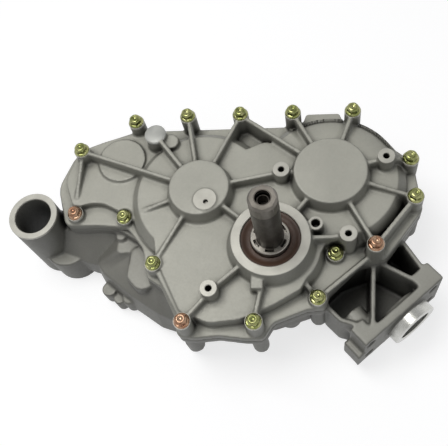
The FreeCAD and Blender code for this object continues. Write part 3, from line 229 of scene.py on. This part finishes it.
def machined_metal(name, colour, metallic, roughness, centre=None):
    """A turned or milled face: fine rings about a centre, or straight cutter lines."""
    mat, tree, shader = new_material(name)
    coords = place(tree)
    shift = add(tree, "ShaderNodeMapping")
    wire(tree, coords, "Object", shift, "Vector")
    lines = add(tree, "ShaderNodeTexWave", Scale=CUTTER_LINES, Distortion=1.2)
    lines.wave_type = "BANDS"
    if centre:
        shift.inputs["Location"].default_value = (-centre[0] * MM, -centre[1] * MM, 0.0)
        lines.wave_type = "RINGS"
        lines.rings_direction = "Z"
    wire(tree, shift, "Vector", lines, "Vector")
    broad = noise(tree, coords, 60.0, 3.0)
    base = ramp(tree, broad, "Fac", [(0.35, shade(colour, 0.90)), (0.65, shade(colour, 1.05))])
    wire(tree, base, "Color", shader, "Base Color")
    gloss = ramp(tree, lines, "Fac", [(0.2, grey(roughness + 0.07)), (0.8, grey(roughness - 0.05))])
    wire(tree, gloss, "Color", shader, "Roughness")
    shader.inputs["Metallic"].default_value = metallic
    bump(tree, shader, [(lines, 0.10, 0.00005)])
    return mat


def plated_metal(name, colour, second, roughness):
    """Zinc plating whose passivation drifts between two tints."""
    mat, tree, shader = new_material(name)
    coords = place(tree)
    drift = noise(tree, coords, 160.0, 2.0)
    fine = noise(tree, coords, 900.0, 3.0)
    base = ramp(tree, drift, "Fac", [(0.38, colour), (0.62, second)])
    wire(tree, base, "Color", shader, "Base Color")
    gloss = ramp(tree, fine, "Fac", [(0.3, grey(roughness + 0.10)), (0.7, grey(roughness - 0.05))])
    wire(tree, gloss, "Color", shader, "Roughness")
    shader.inputs["Metallic"].default_value = 1.0
    bump(tree, shader, [(fine, 0.12, 0.0001)])
    return mat


def plain_metal(name, colour, roughness, grain=700.0, metallic=0.9):
    """Ground or machined steel and bronze."""
    mat, tree, shader = new_material(name)
    coords = place(tree)
    fine = noise(tree, coords, grain, 3.0)
    broad = noise(tree, coords, 50.0, 2.0)
    base = ramp(tree, broad, "Fac", [(0.35, shade(colour, 0.82)), (0.65, shade(colour, 1.10))])
    wire(tree, base, "Color", shader, "Base Color")
    gloss = ramp(tree, fine, "Fac", [(0.3, grey(roughness + 0.08)), (0.7, grey(roughness - 0.06))])
    wire(tree, gloss, "Color", shader, "Roughness")
    shader.inputs["Metallic"].default_value = metallic
    bump(tree, shader, [(fine, 0.10, 0.0001)])
    return mat


def rubber(name, colour):
    mat, tree, shader = new_material(name)
    coords = place(tree)
    fine = noise(tree, coords, 500.0, 3.0)
    broad = noise(tree, coords, 45.0, 2.0)
    base = ramp(tree, broad, "Fac", [(0.35, shade(colour, 0.8)), (0.65, shade(colour, 1.25))])
    wire(tree, base, "Color", shader, "Base Color")
    gloss = ramp(tree, fine, "Fac", [(0.3, grey(0.62)), (0.7, grey(0.50))])
    wire(tree, gloss, "Color", shader, "Roughness")
    bump(tree, shader, [(fine, 0.15, 0.0002)])
    return mat


COVER_COLOUR = (0.43, 0.425, 0.375)
CASE_COLOUR = (0.335, 0.33, 0.295)
MACHINED_COLOUR = (0.50, 0.49, 0.44)

# The last two numbers set the painted shade in hollows and corners and the painted shade on walls
# and slopes
cover_cast = cast_metal("cover_cast", COVER_COLOUR, 0.10, 0.50, 0.55, 0.60)
case_cast = cast_metal("case_cast", CASE_COLOUR, 0.10, 0.50, 0.48, 0.52)
smooth_cast = plain_metal("smooth_cast", (0.46, 0.465, 0.44), 0.42, 200.0, 0.15)
turned = machined_metal("machined_face", MACHINED_COLOUR, 0.30, 0.40, INPUT)
milled = machined_metal("milled_face", MACHINED_COLOUR, 0.30, 0.42)
bright = machined_metal("bright_turned", (0.58, 0.58, 0.55), 0.95, 0.24)
zinc = plated_metal("zinc_yellow", (0.20, 0.22, 0.075), (0.36, 0.36, 0.17), 0.24)
copper = plated_metal("zinc_copper", (0.27, 0.14, 0.085), (0.42, 0.28, 0.19), 0.26)
shaft_steel = plain_metal("shaft_steel", (0.10, 0.09, 0.08), 0.42)
sleeve_steel = plain_metal("sleeve_steel", (0.27, 0.255, 0.23), 0.36)
gear_steel = plain_metal("gear_steel", (0.36, 0.36, 0.37), 0.36)
bearing_steel = plain_metal("bearing_steel", (0.55, 0.55, 0.56), 0.28)
bronze = plain_metal("bush_bronze", (0.45, 0.31, 0.14), 0.38)
fork_iron = plain_metal("fork_iron", (0.20, 0.20, 0.21), 0.55, 300.0)
brass = plain_metal("breather_brass", (0.58, 0.42, 0.18), 0.35)
seal_brown = rubber("seal_brown", (0.045, 0.020, 0.010))

SLOT_LOOKS = {
    "case_cast": case_cast, "cover_cast": cover_cast, "zinc_bolts": zinc,
    "pins_steel": bearing_steel, "bearing_steel": bearing_steel, "seal_rubber": seal_brown,
    "shaft_steel": shaft_steel, "gear_steel": gear_steel, "bush_bronze": bronze,
    "fork_cast": fork_iron, "lever_zinc": zinc, "breather_brass": brass,
}

for entry in frame["record"]["subparts"]:
    data = nodes[entry["node"]].data
    data.materials.clear()
    data.materials.append(SLOT_LOOKS[entry["material_slot"]])


# Mesh helpers

def new_object(name, bm, materials, body="case", smooth_angle=35.0):
    mesh = bpy.data.meshes.new(name)
    bm.to_mesh(mesh)
    bm.free()
    piece = bpy.data.objects.new(name, mesh)
    bpy.context.scene.collection.objects.link(piece)
    for mat in materials:
        mesh.materials.append(mat)
    mesh.shade_smooth()
    mesh.set_sharp_from_angle(angle=math.radians(smooth_angle))
    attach(piece, body)
    return piece


def ring_of_points(bm, centre, radius_at, z, count):
    """A closed ring of vertices in millimetres whose radius may change with the angle."""
    ring = []
    for i in range(count):
        angle = 2 * math.pi * i / count
        radius = radius_at(angle)
        x = centre[0] + radius * math.cos(angle)
        y = centre[1] + radius * math.sin(angle)
        ring.append(bm.verts.new((x * MM, y * MM, z * MM)))
    return ring


def bridge(bm, low, high, index=0):
    count = len(low)
    for i in range(count):
        j = (i + 1) % count
        face = bm.faces.new((low[i], low[j], high[j], high[i]))
        face.material_index = index


def turned_solid(bm, centre, profile, count):
    """A solid of revolution from a closed profile of radius and height, walked anticlockwise."""
    rings = [ring_of_points(bm, centre, lambda _, r=r: r, z, count) for r, z in profile]
    for i, ring in enumerate(rings):
        bridge(bm, ring, rings[(i + 1) % len(rings)])


def stacked(bm, centre, sections, count, index=0):
    """A capped solid through sections, each a height and a function from angle to radius."""
    rings = [ring_of_points(bm, centre, radius_at, z, count) for z, radius_at in sections]
    for low, high in zip(rings, rings[1:]):
        bridge(bm, low, high, index)
    bm.faces.new(list(reversed(rings[0]))).material_index = index
    bm.faces.new(rings[-1]).material_index = index


def constant(radius):
    return lambda angle: radius


# Castings

FULL_HOLLOW = 0.9 * MM
WELD = 0.002 * MM


def hollows(piece, before):
    """Stores how far smoothing lifted each point out of a hollow, from 0 to 1; the cast materials
    paint shade in creases from it.
    """
    attribute = piece.data.attributes.new("hollow", "FLOAT", "POINT")
    values = []
    for vertex, old in zip(piece.data.vertices, before):
        lift = (vertex.co - old).dot(vertex.normal)
        values.append(min(max(lift / FULL_HOLLOW, 0.0), 1.0))
    attribute.data.foreach_set("value", values)


def with_modifier(piece, kind, **settings):
    """The piece's mesh after one modifier, taken as its new mesh."""
    modifier = piece.modifiers.new(kind.lower(), kind)
    for key, value in settings.items():
        setattr(modifier, key, value)
    graph = bpy.context.evaluated_depsgraph_get()
    mesh = bpy.data.meshes.new_from_object(piece.evaluated_get(graph))
    piece.modifiers.clear()
    old = piece.data
    piece.data = mesh
    bpy.data.meshes.remove(old)


# The cover's lean: its reach from the output's axis, its sector in degrees, and the cover's levels
SLOPE_START = 42.0
SLOPE_END = 84.0
SLOPE_MOST = 1.1
SLOPE_DROP = 12.0
SLOPE_SECTOR = (22.0, 128.0)
SLOPE_FADE = 12.0
FLANGE_LEVEL = 10.0
PLATE_LEVEL = 28.0
RIB_FOOT = 3.0
CHAMBER = 76.0
PINION_CHAMBER = 42.0
CHAMBER_ROOF = 22.6


def read_points(piece):
    """The piece's vertices as rows of metres."""
    points = np.empty(len(piece.data.vertices) * 3, dtype=np.float32)
    piece.data.vertices.foreach_get("co", points)
    return points.reshape(-1, 3)


def write_points(piece, points):
    piece.data.vertices.foreach_set("co", points.ravel())
    piece.data.update()


def slope_north(piece):
    """Leans the cover's plate down towards its north rim, all around the output's disc."""
    points = read_points(piece)
    x, y, z = (points / MM).T
    inner = np.zeros(len(z), dtype=bool)
    for centre, radius in ((OUTPUT, CHAMBER), (COUNTER, CHAMBER), (INPUT, PINION_CHAMBER)):
        inner |= (np.hypot(x - centre[0], y - centre[1]) < radius) & (z < CHAMBER_ROOF)
    reach = np.hypot(x - OUTPUT[0], y - OUTPUT[1])
    angle = np.degrees(np.arctan2(y - OUTPUT[1], x - OUTPUT[0]))
    share = np.clip((reach - SLOPE_START) / (SLOPE_END - SLOPE_START), 0, SLOPE_MOST)
    side = np.clip(np.minimum(angle - SLOPE_SECTOR[0], SLOPE_SECTOR[1] - angle) / SLOPE_FADE, 0, 1)
    rise = np.clip((z - FLANGE_LEVEL) / (PLATE_LEVEL - FLANGE_LEVEL), 0, 1)
    under_ribs = np.clip((PLATE_LEVEL + RIB_FOOT - z) / RIB_FOOT, 0, 1)
    drop = SLOPE_DROP * share ** 2 * side * np.where(z > PLATE_LEVEL, under_ribs, rise)
    points[:, 2] -= np.where(inner, 0, drop) * MM
    write_points(piece, points)


RAIL_ROOM = 6.7
RAIL_FLOOR = -76.6
RAIL_BORE_TOP = -50.0


def clear_rail_bore(piece):
    """Opens the smoothed bore of the shift rail to a running fit."""
    points = read_points(piece)
    x, y, z = (points / MM).T
    away = np.hypot(x - RAIL[0], y - RAIL[1])
    near = (away < RAIL_ROOM) & (away > RAIL_ROOM / 2) & (z > RAIL_FLOOR) & (z < RAIL_BORE_TOP)
    stretch = np.where(near, RAIL_ROOM / np.maximum(away, 1.0), 1.0)
    points[:, 0] = (RAIL[0] + (x - RAIL[0]) * stretch) * MM
    points[:, 1] = (RAIL[1] + (y - RAIL[1]) * stretch) * MM
    write_points(piece, points)


def casting(node, name, look, voxel, rounds):
    """The CAD casting with cast fillets: remeshed at a voxel size in millimetres, then smoothed."""
    bm = bmesh.new()
    bm.from_mesh(nodes[node].data)
    bmesh.ops.remove_doubles(bm, verts=bm.verts, dist=WELD)
    mesh = bpy.data.meshes.new(name)
    bm.to_mesh(mesh)
    bm.free()
    piece = bpy.data.objects.new(name, mesh)
    bpy.context.scene.collection.objects.link(piece)
    with_modifier(piece, "REMESH", mode="VOXEL", voxel_size=voxel * MM, adaptivity=0.0)
    before = [v.co.copy() for v in piece.data.vertices]
    with_modifier(piece, "SMOOTH", factor=0.5, iterations=rounds)
    hollows(piece, before)
    if node == "front_cover":
        slope_north(piece)
    else:
        clear_rail_bore(piece)
    piece.data.materials.clear()
    piece.data.materials.append(look)
    piece.data.shade_smooth()
    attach(piece, "case")
    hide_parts(node)


casting("front_cover", "cover_casting", cover_cast, 1.15, 5)
casting("rear_case", "case_casting", case_cast, 1.4, 6)


# Cover bolts

FLATS = 12.0
SHANK = 4.0
SHANK_TIP = -14.0
TURN_STEP = 37
HEX_POINTS = 48

# A head from its flange to its dished top, as heights over the seat and radii. The hexagon's
# corners are cut off at the radius
HEAD_FLANGE = [(0.0, 8.2), (0.4, 8.4), (1.0, 8.2), (1.7, 7.4), (2.3, 7.0)]
HEAD_FLATS = [(2.5, 6.9), (5.6, 6.9), (6.7, 6.2), (7.6, 5.0)]
HEAD_DOME = [(8.1, 4.0), (8.2, 3.4), (8.0, 2.9), (7.1, 2.0), (6.8, 0.5)]


def flats(count, reach, turn=0.0):
    """The radius of a regular polygon whose sides stand at the reach."""
    part = 2 * math.pi / count
    return lambda angle: reach / math.cos((angle - turn + part / 2) % part - part / 2)


def capped(function, limit):
    return lambda angle: min(function(angle), limit)


def bolt_head(bm, x, y, seat, turn, index):
    """A flange bolt's head: a sloped flange, a chamfered hexagon and a shallow dish."""
    sections = [(seat + rise, constant(radius)) for rise, radius in HEAD_FLANGE]
    sections += [
        (seat + rise, capped(flats(6, FLATS / 2, turn), limit)) for rise, limit in HEAD_FLATS]
    sections += [(seat + rise, constant(radius)) for rise, radius in HEAD_DOME]
    stacked(bm, (x, y), sections, HEX_POINTS, index=index)


def cover_bolts():
    bm = bmesh.new()
    for number, (x, y, seat) in enumerate(BOLTS, start=1):
        turn = math.radians((number * TURN_STEP) % 60)
        bolt_head(bm, x, y, seat, turn, 1 if number in COPPER_BOLTS else 0)
        stacked(bm, (x, y), [(SHANK_TIP, constant(SHANK)), (seat, constant(SHANK))], 24)
    piece = new_object("flange_bolts", bm, [zinc, copper])
    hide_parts("cover_bolts")


cover_bolts()


# Machined faces

LIFT = 0.12
BORE_DEPTH = 14.0
BORE_CHAMFER = 0.6
RIM_CHAMFER = 0.4
SKIRT = 3.0
SEAT_PROFILE = [(8.95, -SKIRT), (8.95, -0.25), (8.7, 0.0), (4.4, 0.0), (4.4, -SKIRT)]
PAD_FACE = 45.5
PAD_HOLE_DEPTH = 5.0
BLOB_DOME = [(39.0, 12.2), (41.1, 12.0), (41.9, 10.9), (42.5, 8.0), (42.7, 3.0)]


def crisp_ring(name, places, inner, outer, face, look, count=64, skirt=SKIRT):
    """Thin turned rings that lie on cast bosses, with a chamfer at each edge."""
    bm = bmesh.new()
    top = face + LIFT
    for x, y in places:
        turned_solid(bm, (x, y), [
            (outer, face - skirt), (outer, top - RIM_CHAMFER), (outer - RIM_CHAMFER, top),
            (inner + BORE_CHAMFER, top), (inner, top - BORE_CHAMFER), (inner, face - BORE_DEPTH),
        ], count)
    new_object(name, bm, [look])


def bolt_seats():
    bm = bmesh.new()
    for x, y, seat in BOLTS:
        turned_solid(bm, (x, y), [(radius, seat + rise) for radius, rise in SEAT_PROFILE], 48)
    new_object("bolt_seats", bm, [milled])


def round_pad():
    """The light round pad on the countershaft's disc, with its small hole off the centre."""
    bm = bmesh.new()
    face = PAD_FACE + LIFT
    rim = ring_of_points(bm, ROUND_PAD, constant(12.1), face, 64)
    foot = ring_of_points(bm, ROUND_PAD, constant(12.5), face - 0.5, 64)
    hole = ring_of_points(bm, ROUND_PAD_HOLE, constant(2.7), face, 64)
    deep = ring_of_points(bm, ROUND_PAD_HOLE, constant(2.6), face - PAD_HOLE_DEPTH, 64)
    bridge(bm, rim, hole)
    bridge(bm, hole, deep)
    bridge(bm, foot, rim)
    bm.faces.new(deep)
    bmesh.ops.recalc_face_normals(bm, faces=bm.faces)
    new_object("round_pad_face", bm, [milled])


def blob_cap():
    """The smooth, brighter dome on the round boss beside the second bolt."""
    bm = bmesh.new()
    stacked(bm, BLOB_BOSS, [(z, constant(radius)) for z, radius in BLOB_DOME], 96)
    piece = new_object("blob_cap", bm, [smooth_cast])


blob_cap()
crisp_ring("ring_face", [INPUT], 31.0, 40.6, RING_FACE, turned, 160, 5.0)
crisp_ring("boss_faces", BOSSES, 3.4, 8.8, RING_FACE, milled)
crisp_ring("deep_boss_face", [DEEP_BOSS], 4.6, 7.4, DEEP_BOSS_FACE, milled)
crisp_ring("tube_mouth", [TUBE], 21.0, 27.9, TUBE_MOUTH, milled, 120)
bolt_seats()
round_pad()


# The pilot ring's section: radii, and distances outwards from the shaft's axis
PILOT_SECTION = [
    (26.2, 135.0), (26.2, 135.2), (27.1, 135.6), (27.1, 147.2),
    (26.2, 148.1), (19.7, 148.1), (18.9, 147.3), (18.9, 136.0),
]


def bracket_frame():
    """Axes of the bracket's face: along it, up and outwards, from the shaft's axis."""
    turn = math.radians(BRACKET_ANGLE)
    along = Vector((math.cos(turn), math.sin(turn), 0))
    out = Vector((math.sin(turn), -math.cos(turn), 0))
    return Matrix((
        (along.x, 0, out.x, 0), (along.y, 0, out.y, 0), (0, 1, 0, 0), (0, 0, 0, 1)))


def pilot_ring():
    """The bracket's turned pilot ring."""
    bm = bmesh.new()
    turned_solid(bm, (PILOT_ALONG, PILOT_HEIGHT), PILOT_SECTION, 120)
    bm.transform(bracket_frame())
    bmesh.ops.recalc_face_normals(bm, faces=bm.faces)
    new_object("pilot_ring_turned", bm, [bright])


pilot_ring()


# Input shaft, its sleeve and its seal

SKIN = 0.04
OUTER = 14.0
SLEEVE_TOP = 51.0
BAND = 121.4
BAND_GROOVE = 0.25
TIP = 140.0
TIP_SIDES = 8
TIP_TURN = 0.4

# The tip's recess and centre hole, as depths below the tip and radii
TIP_HOLE = [(-SKIN, 8.3), (0.9, 7.3), (6.0, 7.25), (6.0, 5.5), (6.5, 5.1), (20.0, 5.05), (20.0, 0.4)]


def input_shaft():
    """The plain stub over the CAD shaft, with a faceted chamfer and a recessed centre hole."""
    plain = constant(OUTER + SKIN)
    groove = constant(OUTER - BAND_GROOVE)
    sections = [
        (SLEEVE_TOP + 0.4, plain), (BAND, plain), (BAND + 0.4, groove), (BAND + 1.0, groove),
        (BAND + 1.4, plain), (TIP - 2.6, plain),
        (TIP - 0.5, capped(flats(TIP_SIDES, 12.2, TIP_TURN), OUTER)),
        (TIP + SKIN, capped(flats(TIP_SIDES, 11.7, TIP_TURN), OUTER)),
    ]
    sections += [(TIP - depth, constant(radius)) for depth, radius in TIP_HOLE]
    bm = bmesh.new()
    stacked(bm, INPUT, sections, 160)
    piece = new_object("shaft_stub", bm, [shaft_look], "input", 28.0)


SLOTS = 6
SLOT_REACH = 17.6
SLOT_FOOT = 14.3
SLOT_HALF_WIDTH = 4.2
SLOT_DEPTH = 8.0
SLEEVE_FOOT = 38.0
SLEEVE_BORE = 14.5


def slotted(angle):
    """The radius of the sleeve's slotted bore."""
    part = 2 * math.pi / SLOTS
    away = angle % part - part / 2
    return SLOT_REACH if abs(math.sin(away)) * SLOT_FOOT <= SLOT_HALF_WIDTH else SLOT_FOOT


def seal_sleeve():
    """The seal's running sleeve with chamfered edges and open slots around its upper end."""
    top = SLEEVE_TOP + 0.05
    slot_floor = SLEEVE_TOP - SLOT_DEPTH
    bm = bmesh.new()
    rings = [
        ring_of_points(bm, INPUT, radius_at, z, 288)
        for z, radius_at in (
            (SLEEVE_FOOT, constant(19.9)), (SLEEVE_TOP - 0.8, constant(20.0)),
            (top, constant(19.2)), (top, slotted), (slot_floor, slotted),
            (slot_floor, constant(SLEEVE_BORE)), (SLEEVE_FOOT, constant(SLEEVE_BORE)))
    ]
    for low, high in zip(rings, rings[1:] + rings[:1]):
        bridge(bm, low, high)
    bmesh.ops.recalc_face_normals(bm, faces=bm.faces)
    piece = new_object("seal_sleeve", bm, [sleeve_steel], "input", 30.0)
    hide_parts("input_sleeve")


# Heights in metres between which the shaft's dark skin ends
WIPED_FROM = 0.1215
WIPED_TO = 0.1235


def shaft_material():
    """Dark oiled steel whose last length before the tip is wiped lighter."""
    mat, tree, shader = new_material("shaft_worn")
    coords = place(tree)
    split = add(tree, "ShaderNodeSeparateXYZ")
    wire(tree, coords, "Object", split, "Vector")
    height = add(tree, "ShaderNodeMapRange")
    height.inputs["From Min"].default_value = WIPED_FROM
    height.inputs["From Max"].default_value = WIPED_TO
    wire(tree, split, "Z", height, "Value")
    broad = noise(tree, coords, 60.0, 3.0)
    low = ramp(tree, broad, "Fac", [(0.35, (0.035, 0.031, 0.027)), (0.65, (0.075, 0.068, 0.06))])
    high = ramp(tree, broad, "Fac", [(0.35, (0.13, 0.12, 0.105)), (0.65, (0.20, 0.185, 0.165))])
    base = mixed(tree, height, "Result", low, high)
    wire(tree, base, MIXED, shader, "Base Color")
    fine = noise(tree, coords, 700.0, 3.0)
    gloss = ramp(tree, fine, "Fac", [(0.3, grey(0.46)), (0.7, grey(0.34))])
    wire(tree, gloss, "Color", shader, "Roughness")
    shader.inputs["Metallic"].default_value = 0.9
    bump(tree, shader, [(fine, 0.10, 0.0001)])
    return mat


shaft_look = shaft_material()
input_shaft()
seal_sleeve()


# The seal's section, as radii and heights
SEAL_SECTION = [
    (31.0, 39.0), (31.0, 44.4), (30.4, 45.0), (28.8, 45.0), (27.4, 44.2), (25.6, 43.4),
    (23.8, 43.1), (22.0, 43.3), (21.0, 43.6), (20.4, 43.0), (20.1, 41.0), (20.1, 39.0),
]


def input_seal():
    """A lipped seal: a flat outer band and a smooth dish down to its lip."""
    bm = bmesh.new()
    turned_solid(bm, INPUT, SEAL_SECTION, 128)
    piece = new_object("seal_lips", bm, [seal_brown])
    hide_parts("input_seal")


input_seal()


# Floor, light and camera

def direct_rays(tree):
    """One for rays of the camera and for those that metal and glass reflect or let through."""
    rays = add(tree, "ShaderNodeLightPath")
    last = None
    for kind in ("Is Glossy Ray", "Is Transmission Ray"):
        joined = add(tree, "ShaderNodeMath", operation="MAXIMUM")
        if last:
            wire(tree, last, "Value", joined, 0)
        else:
            wire(tree, rays, "Is Camera Ray", joined, 0)
        wire(tree, rays, kind, joined, 1)
        last = joined
    return last


FLOOR_HALF = 4.0
FLOOR_GAP = 0.0002
FLOOR_COLOUR = (0.40, 0.40, 0.41, 1.0)
FLOOR_GLOW = 0.72
ROOM_COLOUR = (0.96, 0.98, 1.0, 1.0)
ROOM_STRENGTH = 0.26


def floor():
    """A pale floor that looks white to the camera and keeps the object's shadow."""
    bm = bmesh.new()
    low = REST_PLANE * MM - FLOOR_GAP
    corners = [(-1, -1), (1, -1), (1, 1), (-1, 1)]
    bm.faces.new([bm.verts.new((x * FLOOR_HALF, y * FLOOR_HALF, low)) for x, y in corners])
    mesh = bpy.data.meshes.new("floor")
    bm.to_mesh(mesh)
    bm.free()
    piece = bpy.data.objects.new("floor", mesh)
    bpy.context.scene.collection.objects.link(piece)
    mat, tree, shader = new_material("floor_white")
    shader.inputs["Base Color"].default_value = FLOOR_COLOUR
    shader.inputs["Roughness"].default_value = 0.9
    shader.inputs["Specular IOR Level"].default_value = 0.0
    glow = add(tree, "ShaderNodeEmission")
    seen = add(tree, "ShaderNodeMath", operation="MULTIPLY")
    seen.inputs[1].default_value = FLOOR_GLOW
    wire(tree, direct_rays(tree), "Value", seen, 0)
    wire(tree, seen, "Value", glow, "Strength")
    both = add(tree, "ShaderNodeAddShader")
    wire(tree, shader, "BSDF", both, 0)
    wire(tree, glow, "Emission", both, 1)
    wire(tree, both, "Shader", tree.nodes["Material Output"], "Surface")
    mesh.materials.append(mat)


floor()


def world():
    """A soft even room that looks white behind the floor."""
    made = bpy.data.worlds.new("studio")
    bpy.context.scene.world = made
    made.use_nodes = True
    tree = made.node_tree
    room = tree.nodes["Background"]
    room.inputs["Color"].default_value = ROOM_COLOUR
    room.inputs["Strength"].default_value = ROOM_STRENGTH
    backdrop = add(tree, "ShaderNodeBackground", Strength=1.0)
    coords = add(tree, "ShaderNodeTexCoord")
    split = add(tree, "ShaderNodeSeparateXYZ")
    wire(tree, coords, "Generated", split, "Vector")
    sky = ramp(tree, split, "Z", [(0.25, grey(1.0)), (0.9, grey(0.42))])
    wire(tree, sky, "Color", backdrop, "Color")
    mix = add(tree, "ShaderNodeMixShader")
    wire(tree, direct_rays(tree), "Value", mix, 0)
    wire(tree, room, "Background", mix, 1)
    wire(tree, backdrop, "Background", mix, 2)
    wire(tree, mix, "Shader", tree.nodes["World Output"], "Surface")


world()


def soft_box(name, at, side, watts, colour):
    """A square lamp that faces the frame's origin."""
    lamp = bpy.data.lights.new(name, "AREA")
    lamp.shape = "SQUARE"
    lamp.size = side
    lamp.energy = watts
    lamp.color = colour
    piece = bpy.data.objects.new(name, lamp)
    piece.location = at
    piece.rotation_euler = (-Vector(at)).to_track_quat("-Z", "Y").to_euler()
    bpy.context.scene.collection.objects.link(piece)


soft_box("key", (-0.45, 0.12, 1.5), 0.8, 13.5, (1.0, 0.99, 0.96))
soft_box("fill", (0.9, -0.9, 1.1), 1.2, 1.6, (0.95, 0.97, 1.0))

# The photograph's camera: its place, the point it aims at, its roll and its focal length in pixels
PHOTO_WIDTH = 448
CAMERA_AT = Vector((0.0561, -0.2716, 0.6981))
CAMERA_AIM = Vector((-0.0554, 0.0375, 0.0))
CAMERA_ROLL = -18.765
FOCAL_PIXELS = 700.0
SENSOR = 36.0


def camera():
    data = bpy.data.cameras.new("photo_camera")
    data.sensor_fit = "HORIZONTAL"
    data.sensor_width = SENSOR
    data.lens = FOCAL_PIXELS / PHOTO_WIDTH * SENSOR
    data.clip_start = 0.01
    piece = bpy.data.objects.new("photo_camera", data)
    ahead = (CAMERA_AIM - CAMERA_AT).normalized()
    level = ahead.to_track_quat("-Z", "Y")
    piece.rotation_mode = "QUATERNION"
    piece.rotation_quaternion = Quaternion(ahead, math.radians(-CAMERA_ROLL)) @ level
    piece.location = CAMERA_AT
    bpy.context.scene.collection.objects.link(piece)
    bpy.context.scene.camera = piece


camera()

bpy.context.scene.view_settings.view_transform = "Standard"
